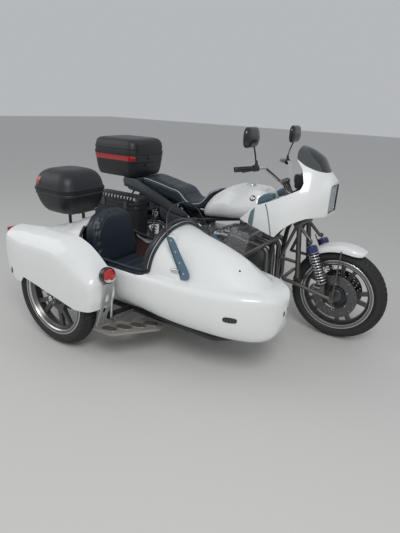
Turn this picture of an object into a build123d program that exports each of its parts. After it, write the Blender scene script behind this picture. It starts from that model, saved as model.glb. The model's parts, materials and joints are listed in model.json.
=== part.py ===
from build123d import *
import math
import os

os.makedirs("parts", exist_ok=True)

# The outfit is drawn from the rear axle: X forward, Y to the left, Z up from the ground,
# all in millimetres. The last step moves it so that its box is centred over the origin.

# Stance
WHEELBASE = 1530
TRACK = 1170
WHEEL_LEAD = 110
FIT_GAP = 0.3
RUN_GAP = 6

# Wheels
TYRE_RADIUS = 318
TYRE_WIDTH = 112
TYRE_SHOULDER = 22
RIM_RADIUS = 243
RIM_SEAT_RADIUS = 228
RIM_INNER_RADIUS = 206
RIM_WIDTH = 86
RIM_FLANGE = 5
SPOKE_COUNT = 5
SPOKE_PHASE = 2
SPOKE_THICKNESS = 26
HUB_RADIUS = 52
HUB_HALF = 62
AXLE_RADIUS = 10
AXLE_CLEARANCE = 0.5
DISC_RADIUS = 148
DISC_THICKNESS = 5
DISC_OFFSET = 73

# Steering head and fork
RAKE = 26.9
YOKE_X = 1195
YOKE_Z = 740
YOKE_THICKNESS = 28
YOKE_OFFSET = 45
RISER_SPREAD = 32
BAR_X = 1066
BAR_Z = 1016
BAR_CLAMP_HALF = 46
HEAD_LENGTH = 170
HEAD_RADIUS = 30
STEM_RADIUS = 14
LEG_SPREAD = 92
LEG_RADIUS = 17
LEG_FOOT = (1280, 113, 366)
PIVOT_FACE = 117
PIVOT_RADIUS = 8
LINK_SPREAD = 137
LINK_RADIUS = 13
LINK_REAR_X = 1172
LINK_REAR_Z = 372
CALIPER_X = 1412
CALIPER_Y = 79
CALIPER_HALF = 24
SHOCK_SPREAD = 118
SHOCK_TOP = (1331, 664)
SHOCK_FOOT = (1458, 386)
SHOCK_RADIUS = 24
SHOCK_COILS = 10
SHOCK_WIDTH = 24
BAR_RADIUS = 11
GRIP_RADIUS = 17
GRIP_LENGTH = 120

# Frame and engine
FRAME_RADIUS = 16
CRADLE_SPREAD = 118
CRADLE_Z = 185
SWING_PIVOT = (370, 330)
SWING_SPREAD = 128
SWING_RADIUS = 16
SEAT_RAIL_SPREAD = 118
ENGINE_HALF = 200
ENGINE_BOTTOM = 212
ENGINE_TOP = 490
ENGINE_FRONT = 985
ENGINE_REAR = 415
CYLINDER_LEAN = 12
CYLINDER_BASE = (815, 470)
CYLINDER_DEPTH = 170
CYLINDER_HALF = 205
FIN_COUNT = 9
FIN_PITCH = 16
FIN_THICKNESS = 5
FIN_REACH = 13
HEADER_RADIUS = 18
HEADER_Z = 147
SILENCER_RADIUS = 44
SILENCER_SPREAD = 243

# Bodywork of the motorcycle
FAIRING_WALL = 6
HEADLIGHT_HALF = 86
HEADLIGHT_FACE = 1402
HEADLIGHT_LOW = 858
HEADLIGHT_HIGH = 1036
COWL_HALF = 165
COWL_WALL = 18
SIDE_PANEL_Y = 152

# Luggage
BOX_WALL = 5
SEAM_GAP = 2
KNUCKLE = 24
KNUCKLE_RADIUS = 6
SIDECAR_BOX_X = (-375, -5)
SIDECAR_BOX_Z = 745
RACK_Z = 895.7
PANNIER_INNER = 204
PANNIER_WIDTH = 165

# Sidecar
BOAT_Y = -720
BOAT_WALL = 8
CHASSIS_RADIUS = 19
CHASSIS_Z = 218
RAIL_INNER_Y = -480
RAIL_OUTER_Y = -870
HULL_BOTTOM = 276
DECK_Z = 554
HULL_REAR_BOTTOM = 308
HULL_FLOOR = HULL_REAR_BOTTOM + BOAT_WALL
BOAT_MOUNTS = ((40, HULL_REAR_BOTTOM), (980, HULL_BOTTOM))
LINK_TUBES = (520, 850)
LINK_Z = 189
STRUT_FEET = ((600, 240), (300, 240))
STRUT_FOOT_Y = -392
WHEEL_ARM_X = 440
WHEEL_ARM_Y = -1056
FENDER_OUTER_Y = -1248
FENDER_INNER_Y = -1075
FENDER_WALL = 6
FOOTBOARD_Z = 192.5
FOOTBOARD_THICKNESS = 6
PAD_LENGTH = 98
PAD_WIDTH = 50
PAD_THICKNESS = 4

parts = {}


# Shared shapes

def add(name, *solids):
    """Keep the solids of one sub-part under its name."""
    parts.setdefault(name, []).extend(solids)


def rod(start, end, radius):
    """Round bar between two points."""
    axis = Vector(*end) - Vector(*start)
    return Solid.make_cylinder(radius, axis.length, Plane(origin=start, z_dir=axis))


def drum(x, z, radius, y_low, y_high):
    """Round boss across the vehicle."""
    return Solid.make_cylinder(radius, y_high - y_low, Plane(origin=(x, y_low, z), z_dir=(0, 1, 0)))


def block(x, y, z):
    """Box from its (low, high) pairs."""
    size = [pair[1] - pair[0] for pair in (x, y, z)]
    middle = [(pair[1] + pair[0]) / 2 for pair in (x, y, z)]
    return Pos(*middle) * Box(*size)


def bent_tube(points, radius, bend):
    """Round tube along straight runs joined by arcs."""
    path = FilletPolyline(*points, radius=bend)
    start = Plane(origin=path @ 0, z_dir=path % 0)
    return sweep(start * Circle(radius), path)


def tube_loop(points, radius, bend):
    """Closed loop of round tube lying flat, with rounded corners."""
    path = fillet(make_face(Polyline(*points, close=True)).vertices(), bend).wires()[0]
    start = Plane(origin=path @ 0, z_dir=path % 0)
    return sweep(start * Circle(radius), path)


def side_face(points, radius=0):
    """Side outline in X and Z as a face at the centre plane."""
    face = make_face(Polyline(*points, close=True))
    if radius:
        face = fillet(face.vertices(), radius)
    return face


def slab(points, y_low, y_high, radius=0):
    """Side outline made solid from one Y to another."""
    plane = Plane(origin=(0, y_high, 0), x_dir=(1, 0, 0), z_dir=(0, -1, 0))
    return extrude(plane * side_face(points, radius), y_high - y_low)


def both_sides(solid):
    """The solid and its mirror image in the motorcycle's centre plane."""
    return [solid, mirror(solid, Plane.XZ)]


def cross_section(x, points, radius, centre_y=0):
    """Cross-section at one X: points give half width and height from low to high."""
    right = [(half, z) for half, z in points]
    left = [(-half, z) for half, z in reversed(points)]
    face = make_face(Polyline(*right, *left, close=True))
    face = fillet(face.vertices(), radius)
    plane = Plane(origin=(x, centre_y, 0), x_dir=(0, 1, 0), z_dir=(1, 0, 0))
    return plane * face


def lofted(sections, inset=0, centre_y=0, ruled=False):
    """Body through the table's cross-sections, drawn smaller all round by the inset."""
    faces = []
    for x, points, radius in sections:
        low = min(z for half, z in points)
        high = max(z for half, z in points)
        middle = (low + high) / 2
        inner = []
        for half, z in points:
            step = inset if z < middle else -inset
            inner.append((half - inset, z + step))
        faces.append(cross_section(x, inner, max(radius - inset / 2, 2), centre_y))
    return loft(faces, ruled=ruled)


# Wheels

def tyre():
    """Tyre about the Y axis, seated on the rim with a small gap."""
    bead = RIM_WIDTH / 2 - RIM_FLANGE - FIT_GAP
    seat = RIM_SEAT_RADIUS + FIT_GAP
    wide = TYRE_WIDTH / 2
    tread = wide - TYRE_SHOULDER / 2
    shoulder = TYRE_RADIUS - TYRE_SHOULDER
    middle = (RIM_RADIUS + shoulder) / 2
    edge = RIM_RADIUS + 2
    outline = [
        Line((-bead, seat), (bead, seat)),
        Line((bead, seat), (bead, edge)),
        ThreePointArc((bead, edge), (wide, middle), (tread, shoulder)),
        ThreePointArc((tread, shoulder), (0, TYRE_RADIUS), (-tread, shoulder)),
        ThreePointArc((-tread, shoulder), (-wide, middle), (-bead, edge)),
        Line((-bead, edge), (-bead, seat)),
    ]
    return revolve(Plane.YZ * make_face(outline), Axis.Y)


def polar(radius, degrees):
    """Point of the wheel's plane."""
    angle = math.radians(degrees)
    return (radius * math.cos(angle), radius * math.sin(angle))


def wheel_windows():
    """The openings of the cast wheel: a fan between spokes and a slot inside each pair."""
    pitch = 360 / SPOKE_COUNT
    fan_inner, fan_outer, slot_inner, slot_outer = 92, 200, 112, 200
    fan_half, slot_half_inner, slot_half_outer = 18.5, 3.5, 7.6
    cut = []
    for index in range(SPOKE_COUNT):
        spoke = SPOKE_PHASE + index * pitch
        gap = spoke + pitch / 2
        shapes = ((gap, fan_inner, fan_outer, fan_half, fan_half, 12),
                  (spoke, slot_inner, slot_outer, slot_half_inner, slot_half_outer, 5))
        for angle, inner, outer, half_inner, half_outer, corner in shapes:
            low_a = polar(inner, angle - half_inner)
            low_b = polar(inner, angle + half_inner)
            high_a = polar(outer, angle - half_outer)
            high_b = polar(outer, angle + half_outer)
            face = make_face([
                Line(low_a, high_a),
                ThreePointArc(high_a, polar(outer, angle), high_b),
                Line(high_b, low_b),
                Line(low_b, low_a),
            ])
            face = fillet(face.vertices(), corner)
            plane = Plane(origin=(0, SPOKE_THICKNESS, 0), x_dir=(1, 0, 0), z_dir=(0, -1, 0))
            cut.append(extrude(plane * face, 2 * SPOKE_THICKNESS))
    return cut


def wheel(hub_low, hub_high, disc_sides, disc_radius):
    """Cast wheel with its brake discs, about the Y axis."""
    half = RIM_WIDTH / 2
    lip = half - RIM_FLANGE
    rim = revolve(Plane.YZ * make_face(Polyline(
        (-half, RIM_RADIUS), (-lip, RIM_RADIUS), (-lip, RIM_SEAT_RADIUS), (lip, RIM_SEAT_RADIUS),
        (lip, RIM_RADIUS), (half, RIM_RADIUS), (half, RIM_SEAT_RADIUS - 8),
        (SPOKE_THICKNESS / 2, RIM_INNER_RADIUS), (-SPOKE_THICKNESS / 2, RIM_INNER_RADIUS),
        (-half, RIM_SEAT_RADIUS - 8), close=True)), Axis.Y)
    web = drum(0, 0, RIM_INNER_RADIUS + 4, -SPOKE_THICKNESS / 2, SPOKE_THICKNESS / 2)
    for window in wheel_windows():
        web -= window
    casting = rim + web + drum(0, 0, HUB_RADIUS, hub_low, hub_high)
    for side in disc_sides:
        middle = side * DISC_OFFSET
        casting += drum(0, 0, disc_radius, middle - DISC_THICKNESS / 2, middle + DISC_THICKNESS / 2)
        carrier = sorted((side * HUB_HALF, middle))
        casting += drum(0, 0, HUB_RADIUS, carrier[0], carrier[1])
    return casting - drum(0, 0, AXLE_RADIUS + AXLE_CLEARANCE, hub_low - 20, hub_high + 20)


def build_wheels():
    """Three like wheels: name, place, hub ends, sides with a disc and its radius."""
    table = [
        ("front", (WHEELBASE, 0), -HUB_HALF, HUB_HALF, (-1, 1), DISC_RADIUS),
        ("rear", (0, 0), -HUB_HALF, HUB_HALF, (-1,), DISC_RADIUS - 16),
        ("sidecar", (WHEEL_LEAD, -TRACK), -HUB_HALF + 12, HUB_HALF, (1,), DISC_RADIUS - 28),
    ]
    for name, place, hub_low, hub_high, sides, disc in table:
        centre = Pos(place[0], place[1], TYRE_RADIUS)
        add(name + "_tyre", centre * tyre())
        add(name + "_wheel", centre * wheel(hub_low, hub_high, sides, disc))


# Steering

def head_point(along, forward=0, y=0):
    """Point given along the steering axis from the lower yoke and forward of it."""
    lean = math.radians(RAKE)
    x = YOKE_X - along * math.sin(lean) + forward * math.cos(lean)
    z = YOKE_Z + along * math.cos(lean) + forward * math.sin(lean)
    return (x, y, z)


def yoke(along):
    """Fork yoke across the steering axis, rounded at the stem and at both legs."""
    lean = math.radians(RAKE)
    up = (-math.sin(lean), 0, math.cos(lean))
    ahead = (math.cos(lean), 0, math.sin(lean))
    low = head_point(along - YOKE_THICKNESS / 2)
    outline = Polyline((-26, -20), (-26, 20), (YOKE_OFFSET - 26, LEG_SPREAD + 24),
                       (YOKE_OFFSET + 26, LEG_SPREAD + 24), (30, 0), (YOKE_OFFSET + 26, -LEG_SPREAD - 24),
                       (YOKE_OFFSET - 26, -LEG_SPREAD - 24), close=True)
    face = make_face(outline)
    face = fillet(face.vertices(), 10)
    return extrude(Plane(origin=low, x_dir=ahead, z_dir=up) * face, YOKE_THICKNESS)


UPPER_YOKE = HEAD_LENGTH + YOKE_THICKNESS + 2 * RUN_GAP


def build_fork():
    """Yokes, stem, legs with their rear braces and the shock brackets, as one weldment."""
    fork = yoke(0) + yoke(UPPER_YOKE)
    fork += rod(head_point(0), head_point(UPPER_YOKE), STEM_RADIUS)
    for side in (-1, 1):
        y = side * LEG_SPREAD
        foot = (LEG_FOOT[0], side * LEG_FOOT[1], LEG_FOOT[2])
        top = head_point(0, YOKE_OFFSET, y)
        fork += rod(top, head_point(UPPER_YOKE + 20, YOKE_OFFSET, y), LEG_RADIUS)
        fork += rod(top, foot, LEG_RADIUS)
        face = sorted((side * (LEG_FOOT[1] - 17), side * PIVOT_FACE))
        fork += drum(LEG_FOOT[0], LEG_FOOT[2], 24, face[0], face[1])
        fork -= drum(LEG_FOOT[0], LEG_FOOT[2], 40, *sorted((side * PIVOT_FACE, side * 180)))
        fork -= drum(LEG_FOOT[0], LEG_FOOT[2], PIVOT_RADIUS + FIT_GAP, *sorted((side * 60, side * 140)))
        knee = (1135, side * (LEG_SPREAD + 8), 512)
        brace_top = head_point(-4, YOKE_OFFSET - 22, y)
        brace_low = (1263, side * (LEG_FOOT[1] - 8), 505)
        fork += rod(brace_top, knee, 11)
        fork += rod(knee, brace_low, 11)
        fork += Pos(*knee) * Sphere(11)
        bracket = (SHOCK_TOP[0], side * (SHOCK_SPREAD - SHOCK_WIDTH / 2 - 13), SHOCK_TOP[1])
        fork += rod(head_point(-8, YOKE_OFFSET, y), bracket, 11)
        pin = sorted((side * (SHOCK_SPREAD - SHOCK_WIDTH / 2 - 18), side * (SHOCK_SPREAD + SHOCK_WIDTH / 2 + 6)))
        fork += drum(SHOCK_TOP[0], SHOCK_TOP[1], 7, pin[0], pin[1])
    for side in (-1, 1):
        clamp = sorted((side * (RISER_SPREAD - 13), side * (RISER_SPREAD + 13)))
        fork += rod(head_point(UPPER_YOKE, 12, side * RISER_SPREAD), (BAR_X, side * RISER_SPREAD, BAR_Z), 12)
        fork += drum(BAR_X, BAR_Z, BAR_RADIUS + 8, clamp[0], clamp[1])
    add("fork", fork - drum(BAR_X, BAR_Z, BAR_RADIUS + FIT_GAP, -BAR_CLAMP_HALF, BAR_CLAMP_HALF))


def build_link():
    """Leading link: a bent tube round the back of the wheel, with the axle and caliper lugs."""
    foot = LEG_FOOT
    ends = [(WHEELBASE, -LINK_SPREAD, TYRE_RADIUS), (foot[0], -LINK_SPREAD, foot[2]),
            (LINK_REAR_X, -LINK_SPREAD + 18, LINK_REAR_Z)]
    points = ends + [(x, -y, z) for x, y, z in reversed(ends)]
    link = bent_tube(points, LINK_RADIUS, 30)
    link += drum(WHEELBASE, TYRE_RADIUS, AXLE_RADIUS, -LINK_SPREAD - 22, LINK_SPREAD + 22)
    for side in (-1, 1):
        nut = sorted((side * (LINK_SPREAD - 14), side * (LINK_SPREAD + 16)))
        link += drum(WHEELBASE, TYRE_RADIUS, 19, nut[0], nut[1])
        bolt = sorted((side * (LEG_FOOT[1] - 22), side * (LINK_SPREAD + 16)))
        link += drum(foot[0], foot[2], PIVOT_RADIUS, bolt[0], bolt[1])
        link += rod((WHEELBASE, side * (LINK_SPREAD - 3), 336), (WHEELBASE, side * 83.6, 636), 5)
        for x, z in ((CALIPER_X - 24, 347), (CALIPER_X + 30, 336)):
            stud = sorted((side * (CALIPER_Y + CALIPER_HALF + FIT_GAP), side * LINK_SPREAD))
            link += drum(x, z, 8, stud[0], stud[1])
        lug_low = SHOCK_SPREAD + SHOCK_WIDTH / 2 + 1
        lug = [(SHOCK_FOOT[0] - 22, 332), (SHOCK_FOOT[0] + 24, 326), (SHOCK_FOOT[0] + 13, SHOCK_FOOT[1] + 13),
               (SHOCK_FOOT[0] - 13, SHOCK_FOOT[1] + 13)]
        span = sorted((side * lug_low, side * (lug_low + 7)))
        link += slab(lug, span[0], span[1], 8)
        pin = sorted((side * (SHOCK_SPREAD - SHOCK_WIDTH / 2 - 5), side * (lug_low + 4)))
        link += drum(SHOCK_FOOT[0], SHOCK_FOOT[1], 7, pin[0], pin[1])
    add("fork_link", link)


def caliper(x, z, y, disc_y, away):
    """Brake caliper straddling a disc: its slot is closed on the side away from the hub."""
    body = block((x - 46, x + 46), (y - CALIPER_HALF, y + CALIPER_HALF), (z - 30, z + 30))
    body = fillet(body.edges().filter_by(Axis.Y), 12)
    half = DISC_THICKNESS / 2 + RUN_GAP
    reach = sorted((x + away * 36, x - away * 80))
    return body - block(reach, (disc_y - half, disc_y + half), (z - 80, z + 80))


def shock(top, foot, y, radius, coils, width):
    """Coil-over shock: eyes, damper, upper cap and the spring as turned ridges."""
    upper = Vector(top[0], y, top[1])
    lower = Vector(foot[0], y, foot[1])
    axis = (upper - lower).normalized()
    length = (upper - lower).length
    eye = 14
    start = 34
    stop = length - 66
    pitch = (stop - start) / coils
    core = radius - 6
    points = [(0, eye - 4), (11, eye - 4), (11, start - 6), (core, start - 6)]
    for index in range(coils):
        low = start + index * pitch
        points += [(core, low), (radius, low + pitch / 2)]
    points += [(core, stop), (radius, stop + 2), (radius, stop + 40), (11, stop + 44), (11, length - eye + 4),
               (0, length - eye + 4)]
    side = axis.cross(Vector(0, 1, 0))
    profile = Plane(origin=lower, x_dir=side, z_dir=side.cross(axis)) * make_face(Polyline(*points, close=True))
    body = revolve(profile, Axis(origin=lower, direction=axis))
    for place in (top, foot):
        body += drum(place[0], place[1], eye, y - width / 2, y + width / 2)
    for place in (top, foot):
        body -= drum(place[0], place[1], 7.3, y - width, y + width)
    return body


def build_front_end():
    """Shocks, calipers, mudguard, handlebar, its controls and the mirrors."""
    for side in (-1, 1):
        add("fork_shocks", shock(SHOCK_TOP, SHOCK_FOOT, side * SHOCK_SPREAD, SHOCK_RADIUS, SHOCK_COILS, SHOCK_WIDTH))
        body = caliper(CALIPER_X, TYRE_RADIUS + 20, side * CALIPER_Y, side * DISC_OFFSET, -1)
        add("front_calipers", body)
    guard_radius, guard_half, wall, skirt = 350, 78, 4, 42
    rim = [(-guard_half, guard_radius - skirt), (-guard_half, guard_radius - 16), (-guard_half + 26, guard_radius),
           (guard_half - 26, guard_radius), (guard_half, guard_radius - 16), (guard_half, guard_radius - skirt),
           (guard_half - wall, guard_radius - skirt), (guard_half - wall, guard_radius - 18),
           (guard_half - 28, guard_radius - wall), (-guard_half + 28, guard_radius - wall),
           (-guard_half + wall, guard_radius - 18), (-guard_half + wall, guard_radius - skirt)]
    back, front = -27, 24
    guard = revolve(Plane.YZ * make_face(Polyline(*rim, close=True)), Axis.Y, front - back)
    add("front_mudguard", Pos(WHEELBASE, 0, TYRE_RADIUS) * Rot(0, back, 0) * guard)
    half = [(878, -372, 1106), (1000, -212, 1118), (1056, -112, 1040), (BAR_X, -56, BAR_Z)]
    points = half + [(x, -y, z) for x, y, z in reversed(half)]
    add("handlebar", bent_tube(points, BAR_RADIUS, 30))
    end, knee = Vector(*half[0]), Vector(*half[1])
    along = (knee - end).normalized()
    for flip in (1, -1):
        outer = end - along * 6
        inner = end + along * GRIP_LENGTH
        grip = rod(outer, inner, GRIP_RADIUS) - rod(end - along, inner + along, BAR_RADIUS + FIT_GAP)
        switch = rod(inner + along, inner + along * 34, 21) - rod(inner, inner + along * 40, BAR_RADIUS + FIT_GAP)
        lever = rod(inner + Vector(30, 12, -4), end + Vector(48, 0, -8), 6)
        pivot = rod(inner + along * 20, inner + Vector(34, 18, -4), 8)
        pivot -= rod(inner, inner + along * 40, BAR_RADIUS + FIT_GAP)
        control = switch + pivot + lever
        stem_low = inner + along * 22
        if flip == 1:
            add("handlebar_controls", grip, control)
            controls_place = stem_low
            mirror_seat = control
        else:
            add("handlebar_controls", mirror(grip, Plane.XZ), mirror(control, Plane.XZ))
    head = block((958, 972), (-452, -312), (1264, 1366))
    head = fillet(head.edges().filter_by(Axis.X), 34)
    stem_foot = controls_place + Vector(0, 0, 16)
    mirror_arm = head + rod(stem_foot, (972, -352, 1275), 5)
    for solid in both_sides(mirror_arm - mirror_seat):
        add("mirrors", solid)


# Motorcycle frame, engine and rear end

def build_frame():
    """Double cradle frame with the steering head, fairing stay and seat rails."""
    frame = rod(head_point(YOKE_THICKNESS / 2 + RUN_GAP), head_point(YOKE_THICKNESS / 2 + RUN_GAP + HEAD_LENGTH),
                HEAD_RADIUS)
    low_head = head_point(74)
    high_head = head_point(140)
    for side in (-1, 1):
        y = side * CRADLE_SPREAD
        cradle = [(low_head[0] - 10, side * 20, low_head[2]), (1080, y, 650), (1034, y, 262), (968, y, CRADLE_Z),
                  (440, y, CRADLE_Z), (SWING_PIVOT[0], y, 292), (SWING_PIVOT[0], y, 640)]
        frame += bent_tube(cradle, FRAME_RADIUS, 45)
        spine = [(high_head[0] - 8, side * 18, high_head[2] - 20), (950, side * 60, 748), (480, side * 76, 660)]
        frame += bent_tube(spine, 14, 40)
        rail = [(480, side * 76, 660), (SWING_PIVOT[0], y, 650), (-118, y, 770)]
        frame += bent_tube(rail, 13, 20)
        frame += drum(100, 706, 7, *sorted((side * SEAT_RAIL_SPREAD, side * 176)))
        frame += rod((SWING_PIVOT[0], y, 480), (110, y, 706), 10)
        frame += rod((1300, 0, 905), (1300, side * 219, 905), 8)
        hanger = side * (PANNIER_INNER - 7 - FIT_GAP)
        frame += bent_tube([(-60, y, 757), (-60, hanger, 694), (-60, hanger, 410),
                            (-60, side * SILENCER_SPREAD, 319.6)], 7, 24)
        frame += rod((100, y, 716), (100, side * 139.6, 770), 7)
        for x in (600, 860):
            frame += rod((x, y, CRADLE_Z), (x, y, ENGINE_BOTTOM - FIT_GAP), 14)
    frame += rod(head_point(90), (1300, 0, 905), 12)
    frame += drum(440, CRADLE_Z, 12, -CRADLE_SPREAD, CRADLE_SPREAD)
    frame += drum(SWING_PIVOT[0], 600, 12, -CRADLE_SPREAD, CRADLE_SPREAD)
    frame += drum(-90, 763, 9, -SEAT_RAIL_SPREAD, SEAT_RAIL_SPREAD)
    for y in (-40, 40):
        frame += rod((-90, y, 763), (-90, y, 660.6), 7)
    pivot = drum(SWING_PIVOT[0], SWING_PIVOT[1], 9, -CRADLE_SPREAD, CRADLE_SPREAD)
    frame += pivot
    stem_bore = rod(head_point(0), head_point(UPPER_YOKE), STEM_RADIUS + 1)
    add("motorcycle_frame", frame - stem_bore)


def build_engine():
    """Transverse four: crankcase with round covers, leaning finned cylinders, carburettors and airbox."""
    case = [(ENGINE_REAR, 300), (ENGINE_REAR, 440), (560, 480), (700, ENGINE_TOP), (900, ENGINE_TOP - 20),
            (ENGINE_FRONT, 420), (ENGINE_FRONT, 300), (900, ENGINE_BOTTOM), (560, ENGINE_BOTTOM)]
    engine = slab(case, -ENGINE_HALF + 12, ENGINE_HALF - 12, 14)
    covers = ((860, 370, 78, 24), (640, 350, 92, 30), (500, 390, 52, 16))
    for x, z, radius, depth in covers:
        engine += drum(x, z, radius, -ENGINE_HALF + 12 - depth, ENGINE_HALF - 12 + depth)
    engine = engine - drum(SWING_PIVOT[0], SWING_PIVOT[1], 40, -ENGINE_HALF, ENGINE_HALF)
    add("engine_block", engine)
    depth = CYLINDER_DEPTH
    core_half = CYLINDER_HALF - FIN_REACH
    height = FIN_COUNT * FIN_PITCH
    stack = Pos(0, 0, height / 2) * Box(depth - 2 * FIN_REACH, 2 * core_half, height + 40)
    for index in range(FIN_COUNT):
        stack += Pos(0, 0, 20 + index * FIN_PITCH) * Box(depth, 2 * CYLINDER_HALF, FIN_THICKNESS)
    cam_z = height + 34
    stack += Pos(0, 0, height + 12) * Box(depth - 20, 2 * core_half, 36)
    for x in (-46, 46):
        stack += drum(x, cam_z, 30, -CYLINDER_HALF + 8, CYLINDER_HALF - 8)
    stack += Pos(0, 0, cam_z - 4) * Box(92, 2 * CYLINDER_HALF - 60, 40)
    stack = Pos(CYLINDER_BASE[0], 0, CYLINDER_BASE[1]) * Rot(0, CYLINDER_LEAN, 0) * stack
    add("engine_cylinders", stack - engine)
    intake = block((440, 600), (-100, 100), (512, 600))
    intake = fillet(intake.edges().filter_by(Axis.Y), 16)
    for y in (-156, -52, 52, 156):
        intake += rod((590, y * 0.6, 572), (650, y, 594), 24)
        intake += rod((645, y, 594), (750.4, y, 600.5), 22)
        intake += rod((690, y, 560), (690, y, 640), 17)
    add("carburettors", intake - stack)


def build_exhaust():
    """Four headers that pair up under the engine and a silencer on each side."""
    lean = math.radians(CYLINDER_LEAN)
    port_x = CYLINDER_BASE[0] + 110 * math.sin(lean) + CYLINDER_DEPTH / 2 * math.cos(lean) - 4
    for side in (-1, 1):
        pipes = None
        for y, join in ((56, 180), (158, 198)):
            points = [(port_x, side * y, 592), (1052, side * y, 570), (1062, side * y, 300),
                      (985, side * y, HEADER_Z), (860, side * y, HEADER_Z)]
            points.append((640, side * join, HEADER_Z))
            pipe = bent_tube(points, HEADER_RADIUS, 50)
            pipes = pipe if pipes is None else pipes + pipe
        run = [(600, side * 196, HEADER_Z), (470, side * 205, HEADER_Z + 6), (330, side * SILENCER_SPREAD, 240),
               (260, side * SILENCER_SPREAD, 250)]
        collector = block((596, 660), sorted((side * 160, side * 216)), (HEADER_Z - 22, HEADER_Z + 22))
        pipes += fillet(collector.edges().filter_by(Axis.X), 20)
        pipes += bent_tube(run, 21, 40)
        start, stop = (268, side * SILENCER_SPREAD, 250), (-330, side * SILENCER_SPREAD, 292)
        pipes += rod(start, stop, SILENCER_RADIUS)
        cone = Plane(origin=stop, z_dir=Vector(*stop) - Vector(*start))
        pipes += Solid.make_cone(SILENCER_RADIUS, 30, 36, cone)
        add("exhaust", pipes - parts["engine_cylinders"][0])


def build_rear_end():
    """Swing arm with the shaft housing, rear shocks, mudguard and calipers."""
    px, pz = SWING_PIVOT
    sleeve = drum(px, pz, 20, -96, 96) - drum(px, pz, 9.5, -120, 120)
    right = rod((px, -78, pz), (60, -SWING_SPREAD, TYRE_RADIUS + 2), SWING_RADIUS)
    left = rod((px, 74, pz), (60, SWING_SPREAD - 8, TYRE_RADIUS + 2), SWING_RADIUS + 3)
    arm = sleeve + right + left
    plate = [(80, 298), (80, 342), (-34, 352), (-40, 288)]
    arm += slab(plate, -SWING_SPREAD - 8, -SWING_SPREAD + 8, 10)
    arm += drum(0, TYRE_RADIUS, 84, HUB_HALF + RUN_GAP, SWING_SPREAD + 6)
    arm += drum(0, TYRE_RADIUS, AXLE_RADIUS, -SWING_SPREAD - 20, SWING_SPREAD)
    for side in (-1, 1):
        arm += drum(34, 346, 7, *sorted((side * (SWING_SPREAD - 6), side * 178)))
    arm = arm - drum(px, pz, 9.5, -120, 120)
    add("swing_arm", arm)
    for side in (-1, 1):
        add("rear_shocks", shock((100, 706), (34, 346), side * 166, 24, 12, 16))
    outer, half, wall, skirt = 352, 76, 4, 40
    rim = [(-half, outer - skirt), (-half, outer - 14), (-half + 20, outer), (half - 20, outer), (half, outer - 14),
           (half, outer - skirt), (half - wall, outer - skirt), (half - wall, outer - 15),
           (half - 21, outer - wall), (-half + 21, outer - wall), (-half + wall, outer - 15),
           (-half + wall, outer - skirt)]
    guard = revolve(Plane.YZ * make_face(Polyline(*rim, close=True)), Axis.Y, 120)
    add("rear_mudguard", Pos(0, 0, TYRE_RADIUS) * Rot(0, -75, 0) * guard)


# Bodywork of the motorcycle

# X, then (half width, height) from low to high, then the corner radius
FAIRING_SECTIONS = [
    (880, [(268, 640), (298, 840), (250, 1100), (90, 1290)], 24),
    (1150, [(280, 640), (304, 860), (182, 1180), (66, 1276)], 24),
    (1300, [(222, 740), (240, 950), (144, 1140), (58, 1212)], 24),
    (1362, [(150, 800), (170, 960), (116, 1068), (48, 1112)], 18),
    (1404, [(102, 842), (118, 940), (100, 1034), (44, 1062)], 14),
]
TANK_SECTIONS = [
    (498, [(96, 705), (128, 735), (104, 768)], 14),
    (600, [(120, 712), (172, 770), (118, 884)], 20),
    (760, [(150, 722), (208, 800), (130, 958)], 24),
    (920, [(140, 745), (196, 810), (122, 956)], 24),
    (1012, [(110, 790), (148, 828), (96, 915)], 18),
]


def build_fairing():
    """Half fairing: a thin shell open at the back and below, its screen, headlight and dash."""
    outer = lofted(FAIRING_SECTIONS)
    inner_table = [(x - 8 if index == len(FAIRING_SECTIONS) - 1 else x, points, radius)
                   for index, (x, points, radius) in enumerate(FAIRING_SECTIONS)]
    inner_table[0] = (870, FAIRING_SECTIONS[0][1], FAIRING_SECTIONS[0][2])
    inner = lofted(inner_table, FAIRING_WALL)
    skin = outer - inner
    white = [(905, 772), (985, 880), (1100, 930), (1190, 978), (1256, 1014), (1264, 1050), (1232, 1130),
             (1180, 1186), (1240, 1150), (1300, 1128), (1356, 1110), (1430, 1106), (1430, 838), (1388, 846),
             (1312, 840), (1240, 806), (1186, 760), (1140, 700)]
    shell = skin & slab(white, -400, 400)
    lamp_hole = block((1290, 1500), (-HEADLIGHT_HALF, HEADLIGHT_HALF), (HEADLIGHT_LOW, HEADLIGHT_HIGH))
    lamp_hole = fillet(lamp_hole.edges().filter_by(Axis.X), 16)
    shell = shell - lamp_hole
    add("fairing_shell", *shell.solids())
    glass = [(1180.3, 1186.3), (1240.2, 1150.3), (1300.2, 1128.3), (1356.1, 1110.3), (1430, 1106.3), (1430, 1320), (1172, 1320),
             (1168, 1230)]
    screen = skin & slab(glass, -400, 400)
    add("fairing_screen", *screen.solids())
    gap = FIT_GAP
    lamp = block((1311, HEADLIGHT_FACE), (-HEADLIGHT_HALF + gap, HEADLIGHT_HALF - gap), (HEADLIGHT_LOW + gap, HEADLIGHT_HIGH - gap))
    lamp = fillet(lamp.edges().filter_by(Axis.X), 15)
    bucket = rod((1311.5, 0, 947), (1308.3, 0, 947), 60)
    add("headlight", lamp + bucket)
    dash = block((1176, 1236), (-120, 120), (1000, 1084))
    dash = fillet(dash.edges().filter_by(Axis.Y), 14)
    for y, radius in ((-58, 42), (58, 42)):
        dash += rod((1180, y, 1042), (1164, y, 1038), radius)
    dash += rod((1230, 0, 1010), (1293.3, 0, 916.3), 8)
    add("instrument_panel", dash)


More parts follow.
